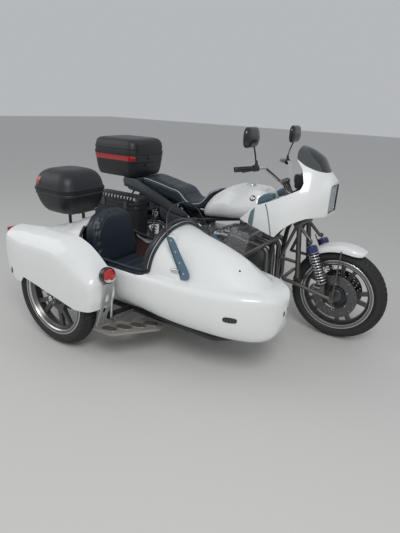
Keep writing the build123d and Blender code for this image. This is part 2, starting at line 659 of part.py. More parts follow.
def build_seat_and_tank():
    """Fuel tank with its tunnel, dual seat, tail cowl and side panels."""
    tank = lofted(TANK_SECTIONS)
    tunnel = slab([(400, 560), (400, 661.6), (480, 676.6), (950, 764.6), (1110, 854.6), (1110, 560)], -100, 100)
    cap = Solid.make_cylinder(34, 12, Plane(origin=(820, 0, 950), z_dir=(0, 0, 1)))
    add("fuel_tank", tank - tunnel + cap)
    side = [(592, 912), (545, 892), (490, 826), (440, 790), (390, 784), (330, 812), (270, 866), (210, 876),
            (60, 908), (-50, 926), (-98, 918), (-106, 850), (-20, 826), (200, 760), (330, 716), (480, 704),
            (490, 790), (545, 858)]
    seat = slab(side, -COWL_HALF + COWL_WALL + FIT_GAP, COWL_HALF - COWL_WALL - FIT_GAP)
    add("seat", seat - tank)
    cowl = [(372, 702), (330, 722), (200, 772), (40, 834), (-122, 898), (-236, 902), (-252, 880), (-240, 830),
            (-126, 812), (60, 748), (240, 690), (350, 676)]
    shape = slab(cowl, -COWL_HALF, COWL_HALF, 4)
    cavity = block((-124, 500), (-COWL_HALF + COWL_WALL, COWL_HALF - COWL_WALL), (500, 1000))
    add("tail_cowl", *(shape - cavity).solids())
    panel = [(470, 690), (380, 664), (240, 676), (110, 722), (128, 640), (250, 560), (380, 520), (450, 560)]
    for solid in both_sides(slab(panel, -SIDE_PANEL_Y - 6, -SIDE_PANEL_Y + 6, 12)):
        add("side_panels", solid)


# Luggage

def case_form(x, y, z, corner, taper, edge):
    """Rounded case form: upright corners, tapered foot and domed top."""
    form = block(x, y, z)
    form = fillet(form.edges().filter_by(Axis.Z), corner)
    form = chamfer(form.faces().sort_by(Axis.Z)[0].edges(), taper)
    return fillet(form.faces().sort_by(Axis.Z)[-1].edges(), edge)


def luggage(name, x, y, z, seam, corner, edge, taper, hinge):
    """Hollow case and its lid, cut apart at the seam, with a knuckled hinge along the seam."""
    wall = BOX_WALL
    outer = case_form(x, y, z, corner, taper, edge)
    inner = case_form((x[0] + wall, x[1] - wall), (y[0] + wall, y[1] - wall), (z[0] + wall, z[1] - wall),
                      corner - wall, taper - 2, edge - wall)
    shell = outer - inner
    wide = 600
    above = Pos((x[0] + x[1]) / 2, (y[0] + y[1]) / 2, seam + SEAM_GAP + wide / 2) * Box(wide, wide, wide)
    below = Pos((x[0] + x[1]) / 2, (y[0] + y[1]) / 2, seam - wide / 2) * Box(wide, wide, wide)
    base = shell & below
    lid = shell & above
    axis, place, spread = hinge
    for part_y in (-spread, spread):
        knuckles = []
        for low, high in ((-KNUCKLE, -FIT_GAP), (FIT_GAP, KNUCKLE)):
            if axis == "Y":
                middle = (y[0] + y[1]) / 2 + part_y
                knuckles.append(drum(place, seam + SEAM_GAP / 2, KNUCKLE_RADIUS, middle + low, middle + high))
            else:
                start = ((x[0] + x[1]) / 2 + part_y + low, place, seam + SEAM_GAP / 2)
                end = ((x[0] + x[1]) / 2 + part_y + high, place, seam + SEAM_GAP / 2)
                knuckles.append(rod(start, end, KNUCKLE_RADIUS))
        base += knuckles[0]
        lid += knuckles[1]
    cut_low = knuckles_room(axis, x, y, place, seam, spread, True)
    cut_high = knuckles_room(axis, x, y, place, seam, spread, False)
    for room in cut_low:
        base -= room
    for room in cut_high:
        lid -= room
    add(name + "_base", base)
    add(name + "_lid", lid)


def knuckles_room(axis, x, y, place, seam, spread, for_base):
    """Clearance round the other part's knuckles, as far as they run."""
    rooms = []
    low, high = (0, KNUCKLE + FIT_GAP) if for_base else (-KNUCKLE - FIT_GAP, 0)
    z = seam + SEAM_GAP / 2
    for offset in (-spread, spread):
        if axis == "Y":
            middle = (y[0] + y[1]) / 2 + offset
            rooms.append(drum(place, z, KNUCKLE_RADIUS + FIT_GAP, middle + low, middle + high))
        else:
            middle = (x[0] + x[1]) / 2 + offset
            rooms.append(rod((middle + low, place, z), (middle + high, place, z), KNUCKLE_RADIUS + FIT_GAP))
    return rooms


def build_luggage():
    """Top box, panniers and the sidecar's own box, with the racks and posts that carry them."""
    luggage("top_box", (-550, -105), (-208, 208), (905, 1200), 1075, 60, 26, 22, ("Y", -103, 110))
    luggage("sidecar_box", SIDECAR_BOX_X, (-955, -565), (SIDECAR_BOX_Z, 1035), 905, 90, 60, 34,
            ("Y", SIDECAR_BOX_X[1] + 2, 90))
    for side, name in ((-1, "right"), (1, "left")):
        y = sorted((side * PANNIER_INNER, side * (PANNIER_INNER + PANNIER_WIDTH)))
        luggage(name + "_pannier", (-400, 60), tuple(y), (430, 800), 730, 36, 20, 14,
                ("X", side * (PANNIER_INNER + PANNIER_WIDTH + 2), 120))
    rack = None
    for side in (-1, 1):
        y = side * 84
        tube = bent_tube([(-90, y, 781.5), (-262, y, 796), (-300, y, RACK_Z), (-500, y, RACK_Z)], 9, 30)
        rack = tube if rack is None else rack + tube
        hanger = side * (PANNIER_INNER - 7 - FIT_GAP)
        rack += bent_tube([(-200, y, 790), (-200, hanger, 700), (-200, hanger, 560)], 7, 24)
    for x in (-320, -480):
        rack += drum(x, RACK_Z, 8, -84, 84)
    add("luggage_racks", rack)
    for x, foot in ((-260, 632), (-120, 681)):
        plate_z = SIDECAR_BOX_Z - 7
        stand = rod((x, BOAT_Y, foot), (x, BOAT_Y, plate_z), 11)
        plate = block((x - 26, x + 26), (BOAT_Y - 120, BOAT_Y + 120), (plate_z, SIDECAR_BOX_Z - FIT_GAP))
        add("box_posts", stand + plate)


# Sidecar

# Hull below the deck: side outline (X, Z), half of the plan (X, half width) and of the front view (half width, Z)
HULL_SIDE = [(-520, 500), (-490, 410), (-330, 342), (-160, HULL_REAR_BOTTOM), (540, HULL_REAR_BOTTOM),
             (780, HULL_BOTTOM), (1372, HULL_BOTTOM), (1420, 318), (1438, 400), (1434, 462), (1408, 520),
             (1330, DECK_Z), (-260, DECK_Z), (-490, 532)]
HULL_PLAN = [(-520, 150), (-380, 225), (-180, 284), (60, 318), (420, 330), (860, 326), (1120, 292), (1270, 232),
             (1360, 166), (1412, 100), (1438, 40)]
HULL_FRONT = [(262, HULL_BOTTOM), (316, 330), (330, 440), (298, DECK_Z)]
TAIL_SIDE = [(-520, 500), (-500, 534), (-380, 590), (-200, 645), (52, 742), (52, 700), (120, 585), (200, 540),
             (200, 500)]
TAIL_FRONT = [(296, 500), (286, DECK_Z), (236, 640), (90, 742)]
# X, then (half width, height) of the hood's foot, side and crown, then the corner radius
HOOD_SECTIONS = [
    (690, [(280, 500), (264, 622), (84, 872)], 26),
    (860, [(214, 500), (204, 592), (80, 830)], 26),
    (1150, [(158, 500), (148, 572), (54, 710)], 20),
    (1345, [(40, 500), (36, 556), (16, 572)], 6),
]
MOUTH_X = (130, 690)
MOUTH_HALF = 286
COCKPIT = [(52, 900), (52, 700), (120, 585), (300, 556), (620, 552), (694, 566), (742, 900)]
SEAT_HALF_WIDTH = 205
# Half width and height of the seat back's rounded top, from low to high
SEAT_ARCH = [(205, 400), (205, 640), (188, 712), (146, 772), (76, 808)]
ROLL_RADIUS = 15


def mirrored(points):
    """Closed outline from the points of its one half."""
    return [(first, second) for first, second in points] + [(first, -second) for first, second in reversed(points)]


def three_views(side, plan, front, wall):
    """Form bounded by its side, plan and front outlines, each drawn in by the wall."""
    views = []
    tables = ((side, 36, Plane(origin=(0, BOAT_Y + 400, 0), x_dir=(1, 0, 0), z_dir=(0, -1, 0)), 800),
              (mirrored(plan), 30, Plane(origin=(0, BOAT_Y, 200)), 700),
              (front, 34, Plane(origin=(-700, BOAT_Y, 0), x_dir=(0, 1, 0), z_dir=(1, 0, 0)), 2300))
    for points, corner, plane, depth in tables:
        face = make_face(Polyline(*points, close=True))
        face = fillet(face.vertices(), corner / 2)
        if wall:
            face = offset(face, -wall)
        views.append(extrude(plane * face, depth))
    return views[0] & views[1] & views[2]


def both_halves(points):
    """Closed front outline from its right half, from low to high."""
    return [(half, z) for half, z in points] + [(-half, z) for half, z in reversed(points)]


def build_boat():
    """Boat: one hollow hull with its raised hood and tail, the cockpit cut out of the deck, and the seat."""
    hull = three_views(HULL_SIDE, HULL_PLAN, both_halves(HULL_FRONT), 0)
    hull += three_views(TAIL_SIDE, HULL_PLAN, both_halves(TAIL_FRONT), 0)
    hull += lofted(HOOD_SECTIONS, 0, BOAT_Y, True)
    cavity = three_views(HULL_SIDE, HULL_PLAN, both_halves(HULL_FRONT), BOAT_WALL)
    cavity += lofted(HOOD_SECTIONS[:-1], BOAT_WALL, BOAT_Y, True)
    cavity &= block((-20, 1260), (-1200, -300), (200, 900))
    y_low, y_high = BOAT_Y - SEAT_HALF_WIDTH, BOAT_Y + SEAT_HALF_WIDTH
    seat_room = block((88, 262), (y_low - 5, y_high + 5), (440, 900))
    mouth = block(MOUTH_X, (BOAT_Y - MOUTH_HALF, BOAT_Y + MOUTH_HALF), (DECK_Z - 54, DECK_Z + 46))
    mouth = fillet(mouth.edges().filter_by(Axis.Z), 60)
    add("boat_shell", hull - cavity - slab(COCKPIT, BOAT_Y - 400, BOAT_Y + 400, 18) - mouth - seat_room)
    seat_low = block((150, 540), (y_low, y_high), (HULL_FLOOR + FIT_GAP, 460))
    seat_low = fillet(seat_low.edges().filter_by(Axis.Z), 60)
    back = slab([(150, 440), (240, 440), (196, 766), (158, 806), (96, 790), (96, 660)], y_low, y_high)
    arch = make_face(Polyline(*both_halves(SEAT_ARCH), close=True))
    arch = fillet(arch.vertices(), 24)
    back &= extrude(Plane(origin=(80, BOAT_Y, 0), x_dir=(0, 1, 0), z_dir=(1, 0, 0)) * arch, 480)
    add("sidecar_seat", seat_low + back)


def build_chassis():
    """Sidecar chassis: a tube loop under the boat, cross tubes, wheel arm and the links to the frame."""
    inner, outer, z = RAIL_INNER_Y, RAIL_OUTER_Y, CHASSIS_Z
    loop = [(400, inner, z), (-240, inner, z), (-240, outer, z), (1080, outer, z), (1180, BOAT_Y - 60, z),
            (1180, BOAT_Y + 60, z), (1080, inner, z)]
    chassis = tube_loop(loop, CHASSIS_RADIUS, 60)
    for x in (-60, LINK_TUBES[0], LINK_TUBES[1]):
        chassis += rod((x, inner, z), (x, outer, z), 16)
    chassis += rod((WHEEL_ARM_X, outer, z), (WHEEL_ARM_X, WHEEL_ARM_Y + 30, z + 22), 16)
    chassis += drum(WHEEL_ARM_X, z + 22, 11, WHEEL_ARM_Y - 16, WHEEL_ARM_Y + 40)
    for x, bottom in BOAT_MOUNTS:
        for y in (inner, outer):
            top = bottom - FIT_GAP
            inward = y + (70 if y == outer else -70)
            chassis += rod((x, y, z), (x, inward, z), 12)
            chassis += Pos(x, inward, (z + top) / 2) * Cylinder(14, top - z)
    for x, foot_z in STRUT_FEET:
        chassis += rod((x, inner, z), (x, STRUT_FOOT_Y, foot_z), 14)
        chassis += rod((x, STRUT_FOOT_Y, foot_z - 13), (x, STRUT_FOOT_Y, foot_z + 16), 15)
    add("sidecar_chassis", chassis)
    for x, foot_z in STRUT_FEET:
        eye_y = STRUT_FOOT_Y
        foot = (x, eye_y, foot_z + 16.3)
        add("connecting_struts", rod(foot, (foot[0], foot[1], foot[2] + 26), 14))
    tops = ((1136, -146, 676), (SWING_PIVOT[0] - 6, -CRADLE_SPREAD - FRAME_RADIUS - 12, 484))
    struts = parts["connecting_struts"]
    for index, (top, (x, foot_z)) in enumerate(zip(tops, STRUT_FEET)):
        start = (x, STRUT_FOOT_Y, foot_z + 36)
        struts[index] += rod(start, top, 13)
    for index, (x, face) in enumerate(zip(LINK_TUBES, (-1, 1))):
        inner_end = -CRADLE_SPREAD - FRAME_RADIUS - FIT_GAP
        points = [(x, inner_end, LINK_Z), (x, -250, LINK_Z), (x, inner + CHASSIS_RADIUS + FIT_GAP, z)]
        add("lower_links", bent_tube(points, 13, 60))
    arm = drum(WHEEL_ARM_X, z + 22, 24, WHEEL_ARM_Y - 14, WHEEL_ARM_Y + 14)
    arm += rod((WHEEL_ARM_X, WHEEL_ARM_Y, z + 22), (WHEEL_LEAD, WHEEL_ARM_Y, TYRE_RADIUS), 16)
    arm += drum(WHEEL_LEAD, TYRE_RADIUS, 24, WHEEL_ARM_Y - 16, WHEEL_ARM_Y + 16)
    arm -= drum(WHEEL_ARM_X, z + 22, 11 + FIT_GAP, WHEEL_ARM_Y - 40, WHEEL_ARM_Y + 60)
    arm += drum(WHEEL_LEAD, TYRE_RADIUS, AXLE_RADIUS, -TRACK - 58, WHEEL_ARM_Y)
    add("sidecar_swing_arm", arm)


# Plan (X, Y) and front view (Y, Z) of the wheel pod's outer side
FENDER_PLAN = [(-320, -1194), (-240, -1232), (-60, FENDER_OUTER_Y), (330, FENDER_OUTER_Y), (470, -1228),
               (560, -1166)]
FENDER_FRONT = [(FENDER_OUTER_Y + 6, 280), (FENDER_OUTER_Y, 470), (-1238, 600), (-1208, 690), (-1150, 752)]


def fender_form(wall):
    """Wheel pod's rounded outer side in plan and front view, drawn in by the wall."""
    side = FENDER_INNER_Y + 60
    plan = [(x, y + wall) for x, y in FENDER_PLAN] + [(560, side), (-320, side)]
    front = [(y + wall, z - wall) for y, z in FENDER_FRONT] + [(side, 752 - wall), (side, 280)]
    form = extrude(Plane(origin=(0, 0, 200)) * make_face(Polyline(*plan, close=True)), 600)
    view = Plane(origin=(-400, 0, 0), x_dir=(0, 1, 0), z_dir=(1, 0, 0))
    return form & extrude(view * make_face(Polyline(*front, close=True)), 1100)


def build_fender():
    """Sidecar wheel pod: a hollow shell with a slanting wheel opening, and its lamps."""
    outline = [(-140, 372), (-262, 372), (-300, 500), (-280, 700), (-120, 735), (130, 745), (315, 728),
               (450, 662), (535, 585), (548, 500), (500, 335), (345, 322), (-105, 412)]
    outer = slab(outline, FENDER_OUTER_Y, FENDER_INNER_Y) & fender_form(0)
    inside = [(-132, 300), (-254, 300), (-290, 500), (-270, 692), (-118, 727), (128, 737), (312, 720),
              (444, 655), (527, 580), (538, 498), (492, 300)]
    inner = slab(inside, FENDER_OUTER_Y + FENDER_WALL, FENDER_INNER_Y + 40) & fender_form(FENDER_WALL)
    add("sidecar_fender", *(outer - inner).solids())
    z = CHASSIS_Z
    start_y = RAIL_OUTER_Y - CHASSIS_RADIUS - FIT_GAP
    for x, turn_x, end in ((480, 480, (497, -1090, 395)), (-215, -215, (-274.4, -1095, 466))):
        add("fender_stays", bent_tube([(x, start_y, z), (turn_x, -1086, z), end], 9, 22))


def build_footboard():
    """Aluminium footboard with the slotted bracket behind the lamp."""
    outline = [(418, -1191), (572, -1181), (756, -958), (736, -888), (576, -883), (542, -909), (556, -1008),
               (490, -1023), (456, -1094), (427, -1160)]
    board = extrude(Pos(0, 0, FOOTBOARD_Z) * make_face(Polyline(*outline, close=True)), FOOTBOARD_THICKNESS)
    add("footboard", board)
    top = FOOTBOARD_Z + FOOTBOARD_THICKNESS
    for x, y in ((508, -1132), (562, -1066), (614, -997), (664, -935)):
        pad = extrude(SlotOverall(PAD_LENGTH, PAD_WIDTH), PAD_THICKNESS)
        add("footboard_pads", Pos(x, y, top + FIT_GAP) * Rot(0, 0, 18) * pad)
    foot = top + FIT_GAP
    plate = slab([(549, 500), (555, 500), (507, 333), (458, foot), (452, foot), (501, 335)], -1140, -1098)
    for x, z in ((474, 250), (498, 320), (522, 400)):
        plate -= block((x - 30, x + 30), (-1130, -1110), (z, z + 46))
    add("footboard_bracket", plate)


def build_lamps():
    """Fender's round front lamp and rear strip, tail lamp and the boat's side marker."""
    facing = Plane(origin=(541.3, -1130, 545), z_dir=(1, 0, 0.153))
    lamp = Solid.make_cylinder(32, 26, facing)
    add("signal_lamps", fillet(lamp.edges().sort_by(Axis.X)[-1], 12))
    add("signal_lamps", slab([(-306, 520), (-298.4, 520), (-284.4, 660), (-292, 660)], -1188, -1108))
    add("signal_lamps", slab([(-252.4, 880), (-241.4, 834), (-250, 830), (-261, 882)], -110, 110))


# X, then (half width, height) of the screen's outer side from low to crest
SCREEN_SECTIONS = [
    (690, [(272, 640), (104, 888), (40, 914)]),
    (905, [(202, 592), (82, 816), (30, 822)]),
]
SCREEN_WALL = 4
STRIP_WALL = 3


def arch_band(x, points, out, wall):
    """Arched strip of one thickness across the boat, its outer side drawn out from the points."""
    outer = [(half + out, z + out) for half, z in points]
    inner = [(half + out - wall, z + out - wall) for half, z in points]
    inner[0] = (outer[0][0] - wall, outer[0][1])
    loop = [(-half, z) for half, z in outer] + [(half, z) for half, z in reversed(outer)]
    loop += [(half, z) for half, z in inner] + [(-half, z) for half, z in reversed(inner)]
    plane = Plane(origin=(x, BOAT_Y, 0), x_dir=(0, 1, 0), z_dir=(1, 0, 0))
    return plane * make_face(Polyline(*loop, close=True))


def arched_sheet(out, wall):
    """Sheet bent over the hood."""
    return loft([arch_band(x, points, out, wall) for x, points in SCREEN_SECTIONS], ruled=True)


def build_sidecar_screen():
    """Small screen over the hood: a bent clear sheet held by a strip and a stud on each side."""
    glass = arched_sheet(0, SCREEN_WALL)
    glass &= slab([(700, 925), (740, 925), (904, 830), (904, 592), (858, 592), (752, 760)], -1100, -300)
    add("sidecar_screen", glass)
    strips = arched_sheet(STRIP_WALL + FIT_GAP, STRIP_WALL)
    strips &= slab([(760, 752), (786, 772), (900, 620), (890, 596), (862, 596)], -1100, -300)
    for strip in strips.solids():
        add("screen_brackets", strip)


def arch_point(half, z):
    """Point of the padded roll just behind the arch's slanting edge."""
    (low_x, low_z), (high_x, high_z) = COCKPIT[-2:]
    x = low_x + (z - low_z) * (high_x - low_x) / (high_z - low_z)
    return (x - ROLL_RADIUS - FIT_GAP, BOAT_Y + half, z)


def build_cockpit_trim():
    """Padded roll round the cockpit arch."""
    right = [arch_point(half, z) for half, z in ((-282, 578), (-250, 640), (-84, 848))]
    left = [arch_point(half, z) for half, z in ((84, 848), (250, 640), (282, 578))]
    add("cockpit_trim", bent_tube(right + left, ROLL_RADIUS, 40))


build_wheels()
build_fork()
build_link()
build_front_end()
build_frame()
build_engine()
build_exhaust()
build_rear_end()
build_fairing()
build_seat_and_tank()
build_luggage()
build_boat()
build_chassis()
build_fender()
build_footboard()
build_lamps()
build_sidecar_screen()
build_cockpit_trim()

# Box of the whole outfit, then its centre over the origin with the tyres on the ground
whole = Compound(children=[solid for solids in parts.values() for solid in solids])
bounds = whole.bounding_box()
shift = Pos(-bounds.center().X, -bounds.center().Y, -bounds.min.Z)
print("shift", -bounds.center().X, -bounds.center().Y, -bounds.min.Z, "size", bounds.size)
for name, solids in parts.items():
    export_step(Compound(children=[shift * solid for solid in solids]), f"parts/{name}.step")
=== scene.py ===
# %% [markdown]
# A white motorcycle with a boat-shaped sidecar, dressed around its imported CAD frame.
# The CAD gives every size and every motion. Here each body gets the surfaces, seams and finishes
# that the real outfit shows: glossy bodywork, coil springs, tyres with tread, stuffed seats.

# %% Load the frame
import json
import math

import bpy
import bmesh
import numpy as np
from mathutils import Matrix, Vector

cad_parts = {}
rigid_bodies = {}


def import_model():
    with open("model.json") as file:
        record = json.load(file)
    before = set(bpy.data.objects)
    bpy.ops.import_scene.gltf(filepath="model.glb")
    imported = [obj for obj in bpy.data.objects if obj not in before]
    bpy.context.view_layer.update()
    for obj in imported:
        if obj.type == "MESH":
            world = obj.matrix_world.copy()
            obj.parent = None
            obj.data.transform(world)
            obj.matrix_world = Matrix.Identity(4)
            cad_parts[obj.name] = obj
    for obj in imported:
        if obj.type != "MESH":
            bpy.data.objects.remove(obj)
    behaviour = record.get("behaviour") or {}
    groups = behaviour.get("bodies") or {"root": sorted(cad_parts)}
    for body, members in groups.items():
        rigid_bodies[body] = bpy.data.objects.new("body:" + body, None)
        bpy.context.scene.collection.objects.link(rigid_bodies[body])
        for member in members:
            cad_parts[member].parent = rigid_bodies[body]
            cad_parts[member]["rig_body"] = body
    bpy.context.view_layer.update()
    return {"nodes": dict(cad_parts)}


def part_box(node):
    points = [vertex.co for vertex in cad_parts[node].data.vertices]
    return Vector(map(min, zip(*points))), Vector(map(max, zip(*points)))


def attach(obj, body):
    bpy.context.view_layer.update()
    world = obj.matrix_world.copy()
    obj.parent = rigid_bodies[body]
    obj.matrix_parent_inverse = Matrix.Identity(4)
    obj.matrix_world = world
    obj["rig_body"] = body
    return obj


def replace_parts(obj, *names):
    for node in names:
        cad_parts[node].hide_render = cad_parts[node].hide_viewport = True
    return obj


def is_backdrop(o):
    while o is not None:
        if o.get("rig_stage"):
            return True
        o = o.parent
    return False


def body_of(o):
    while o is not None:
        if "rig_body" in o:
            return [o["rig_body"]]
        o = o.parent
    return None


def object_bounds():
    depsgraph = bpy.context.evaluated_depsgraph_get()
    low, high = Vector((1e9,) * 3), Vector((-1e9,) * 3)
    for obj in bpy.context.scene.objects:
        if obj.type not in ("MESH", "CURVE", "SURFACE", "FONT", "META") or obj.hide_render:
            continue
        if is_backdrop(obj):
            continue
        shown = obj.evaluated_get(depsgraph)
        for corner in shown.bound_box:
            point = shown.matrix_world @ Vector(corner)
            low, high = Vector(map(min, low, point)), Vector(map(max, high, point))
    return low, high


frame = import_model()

# %% [markdown]
# The outfit was drawn in millimetres from the foot of the rear axle, X forward, Y to the left.
# One helper carries such points into the frame, so that every table below reads like a drawing.

# %% Places
rear_low, rear_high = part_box("rear_tyre")
FOOT = np.array([(rear_low.x + rear_high.x) / 2, (rear_low.y + rear_high.y) / 2, 0])
BOAT_Y = -720
WHEELS = {"front": (1530, 0, 318), "rear": (0, 0, 318), "sidecar": (110, -1170, 318)}
SIDES = ((-1, "right"), (1, "left"))


def place(points):
    """Millimetres from the rear axle's foot to metres in the frame."""
    return np.asarray(points, float) / 1000 + FOOT


def spot(x, y, z):
    """One such point as a vector."""
    return Vector(place((x, y, z)))


print("rear axle's foot", FOOT.round(3), "wheels", list(WHEELS))


# %% [markdown]
# Finishes. Each is made of shader nodes, with faint noise in its roughness or its surface so that
# it catches the light as paint, vinyl or cast metal does. Nothing is an image.

# %% Finishes
def finish(name, colour, rough, metal=0.0, coat=0.0, bump=0.0, grain=60.0, clear=0.0, rough_spread=0.0,
           ior=1.5):
    """One principled material with noise for its grain."""
    made = bpy.data.materials.new(name)
    made.use_nodes = True
    nodes, links = made.node_tree.nodes, made.node_tree.links
    shader = nodes["Principled BSDF"]
    shader.inputs["Base Color"].default_value = (*colour, 1)
    shader.inputs["Roughness"].default_value = rough
    shader.inputs["Metallic"].default_value = metal
    shader.inputs["Coat Weight"].default_value = coat
    shader.inputs["Coat Roughness"].default_value = 0.04
    shader.inputs["Transmission Weight"].default_value = clear
    shader.inputs["IOR"].default_value = ior
    if bump or rough_spread:
        where = nodes.new("ShaderNodeTexCoord")
        noise = nodes.new("ShaderNodeTexNoise")
        noise.inputs["Scale"].default_value = grain
        noise.inputs["Detail"].default_value = 4
        links.new(where.outputs["Object"], noise.inputs["Vector"])
    if rough_spread:
        spread = nodes.new("ShaderNodeMapRange")
        spread.inputs["To Min"].default_value = rough - rough_spread
        spread.inputs["To Max"].default_value = rough + rough_spread
        links.new(noise.outputs["Fac"], spread.inputs["Value"])
        links.new(spread.outputs["Result"], shader.inputs["Roughness"])
    if bump:
        relief = nodes.new("ShaderNodeBump")
        relief.inputs["Strength"].default_value = bump
        relief.inputs["Distance"].default_value = 0.001
        links.new(noise.outputs["Fac"], relief.inputs["Height"])
        links.new(relief.outputs["Normal"], shader.inputs["Normal"])
    return made


# %% Finishes of the outfit
white_paint = finish("white_paint", (0.80, 0.81, 0.80), 0.2, coat=0.6, grain=14, rough_spread=0.04)
# pale inside of the wheel pod; also the painted highlight on every second pannier rib
inner_white_and_rib_highlight = finish("inner_white_and_rib_highlight", (0.62, 0.62, 0.60), 0.55, bump=0.3, grain=180)
lining = finish("lining", (0.10, 0.045, 0.05), 0.9, bump=0.8, grain=260)
case_plastic = finish("case_plastic", (0.016, 0.018, 0.022), 0.42, bump=0.35, grain=900, rough_spread=0.05)
gloss_black = finish("gloss_black", (0.012, 0.013, 0.015), 0.18, coat=0.4, grain=30, rough_spread=0.05)
grey_cowl = finish("grey_cowl", (0.055, 0.062, 0.068), 0.3, coat=0.3, grain=40, rough_spread=0.05)
rubber = finish("rubber", (0.022, 0.022, 0.023), 0.72, bump=0.5, grain=400, rough_spread=0.1)
vinyl = finish("vinyl", (0.017, 0.028, 0.038), 0.4, bump=0.35, grain=420, rough_spread=0.08)
# pale piping on the cockpit arch; on the seat's upper edges the same finish is a painted highlight
piping_and_seat_highlight = finish("piping_and_seat_highlight", (0.55, 0.57, 0.6), 0.35, bump=0.2, grain=300)
cast_alloy = finish("cast_alloy", (0.42, 0.42, 0.42), 0.42, metal=1, bump=0.5, grain=220, rough_spread=0.1)
dark_alloy = finish("dark_alloy", (0.11, 0.112, 0.118), 0.4, metal=0.7, bump=0.4, grain=200,
                    rough_spread=0.08)
bright_alloy = finish("bright_alloy", (0.66, 0.66, 0.66), 0.24, metal=1, grain=90, rough_spread=0.08)
chrome = finish("chrome", (0.72, 0.72, 0.73), 0.1, metal=1, grain=30, rough_spread=0.04)
exhaust_steel = finish("exhaust_steel", (0.2, 0.195, 0.19), 0.3, metal=0.9, bump=0.2, grain=120,
                       rough_spread=0.1)
frame_paint = finish("frame_paint", (0.02, 0.021, 0.023), 0.3, coat=0.3, grain=60, rough_spread=0.06)
steel_tube = finish("steel_tube", (0.17, 0.165, 0.155), 0.36, metal=0.85, bump=0.2, grain=120,
                    rough_spread=0.1)
blue_strip = finish("blue_strip", (0.17, 0.25, 0.33), 0.35, metal=0.6, bump=0.2, grain=90, rough_spread=0.08)
board_alloy = finish("board_alloy", (0.5, 0.47, 0.44), 0.4, metal=0.9, bump=0.5, grain=160, rough_spread=0.12)
red_lens = finish("red_lens", (0.42, 0.012, 0.012), 0.12, coat=0.8, grain=40, rough_spread=0.03)
smoke = finish("smoke", (0.16, 0.175, 0.19), 0.03, clear=0.85, grain=20, rough_spread=0.01)
clear_sheet = finish("clear_sheet", (0.94, 0.97, 0.97), 0.03, clear=1.0, ior=1.2, grain=20, rough_spread=0.01)
lamp_glass = finish("lamp_glass", (0.9, 0.94, 0.97), 0.06, clear=0.9, grain=20, rough_spread=0.02)
mirror_glass = finish("mirror_glass", (0.82, 0.84, 0.86), 0.03, metal=1, grain=20, rough_spread=0.01)
print("finishes", len(bpy.data.materials))


# %% [markdown]
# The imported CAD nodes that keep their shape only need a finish. A short list gives each its own.

# %% Dress the plain nodes
def dress(material, *names):
    """Give each CAD node that material."""
    for name in names:
        node = frame["nodes"][name]
        node.data.materials.clear()
        node.data.materials.append(material)


dress(steel_tube, "fork", "fork_link", "connecting_struts", "lower_links")
dress(bright_alloy, "front_calipers")
dress(cast_alloy, "carburettors")
dress(frame_paint, "motorcycle_frame", "swing_arm", "sidecar_chassis", "sidecar_swing_arm", "luggage_racks",
      "box_posts")
dress(cast_alloy, "engine_cylinders")
dress(dark_alloy, "engine_block")
dress(exhaust_steel, "exhaust")
dress(chrome, "handlebar", "fender_stays")
dress(gloss_black, "handlebar_controls", "mirrors", "instrument_panel", "rear_mudguard")
dress(grey_cowl, "tail_cowl", "side_panels")
dress(case_plastic, "top_box_base", "top_box_lid", "sidecar_box_base", "sidecar_box_lid",
      "right_pannier_base", "right_pannier_lid", "left_pannier_base", "left_pannier_lid")
dress(white_paint, "front_mudguard", "boat_shell", "sidecar_fender", "fuel_tank", "fairing_shell")
dress(red_lens, "signal_lamps")
dress(board_alloy, "footboard", "footboard_bracket")
dress(rubber, "footboard_pads", "front_tyre", "rear_tyre", "sidecar_tyre")
dress(dark_alloy, "front_wheel", "rear_wheel", "sidecar_wheel")
dress(vinyl, "seat", "sidecar_seat", "cockpit_trim")
dress(smoke, "fairing_screen")
dress(clear_sheet, "sidecar_screen")
dress(blue_strip, "screen_brackets")
dress(chrome, "fork_shocks", "rear_shocks")
dress(lamp_glass, "headlight")
print("CAD nodes", len(frame["nodes"]))

# %% [markdown]
# Mesh helpers. Bodywork is drawn as many cross-sections, each a convex outline with softened
# corners, so one smooth skin of four-sided faces follows the whole panel without a seam.

# %% Mesh helpers: new pieces
def linked(name, data):
    """New object in the scene."""
    made = bpy.data.objects.new(name, data)
    bpy.context.scene.collection.objects.link(made)
    return made


def new_piece(name, points, faces, body, *materials, indices=None):
    """Mesh piece in the frame that rides on its body."""
    mesh = bpy.data.meshes.new(name)
    mesh.from_pydata([tuple(p) for p in points], [], faces)
    for material in materials:
        mesh.materials.append(material)
    if indices is not None:
        mesh.polygons.foreach_set("material_index", indices)
    mesh.update()
    mesh.shade_smooth()
    piece = linked(name, mesh)
    if body:
        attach(piece, body)
    return piece


def grid_faces(rows, columns, closed=False, start=0, flip=False):
    """Four-sided faces between neighbouring rows of points."""
    faces = []
    for row in range(rows - 1):
        for column in range(columns if closed else columns - 1):
            after = (column + 1) % columns
            face = (start + row * columns + column, start + row * columns + after,
                    start + (row + 1) * columns + after, start + (row + 1) * columns + column)
            faces.append(face[::-1] if flip else face)
    return faces


def closed_faces(rows, columns):
    """Faces of a closed skin through rows of points, its first and last row filled."""
    last_row = (rows - 1) * columns
    return grid_faces(rows, columns, closed=True) + [tuple(reversed(range(columns))),
                                                     tuple(last_row + i for i in range(columns))]


# %% Mesh helpers: finishing a mesh
def outward(piece):
    """Merge doubles and point every face outwards."""
    work = bmesh.new()
    work.from_mesh(piece.data)
    bmesh.ops.remove_doubles(work, verts=work.verts, dist=1e-6)
    bmesh.ops.recalc_face_normals(work, faces=work.faces)
    work.to_mesh(piece.data)
    work.free()
    return piece


def settled(piece):
    """Turn a piece's modifiers into plain mesh."""
    graph = bpy.context.evaluated_depsgraph_get()
    mesh = bpy.data.meshes.new_from_object(piece.evaluated_get(graph))
    mesh.name = piece.name
    piece.modifiers.clear()
    piece.data = mesh
    return piece


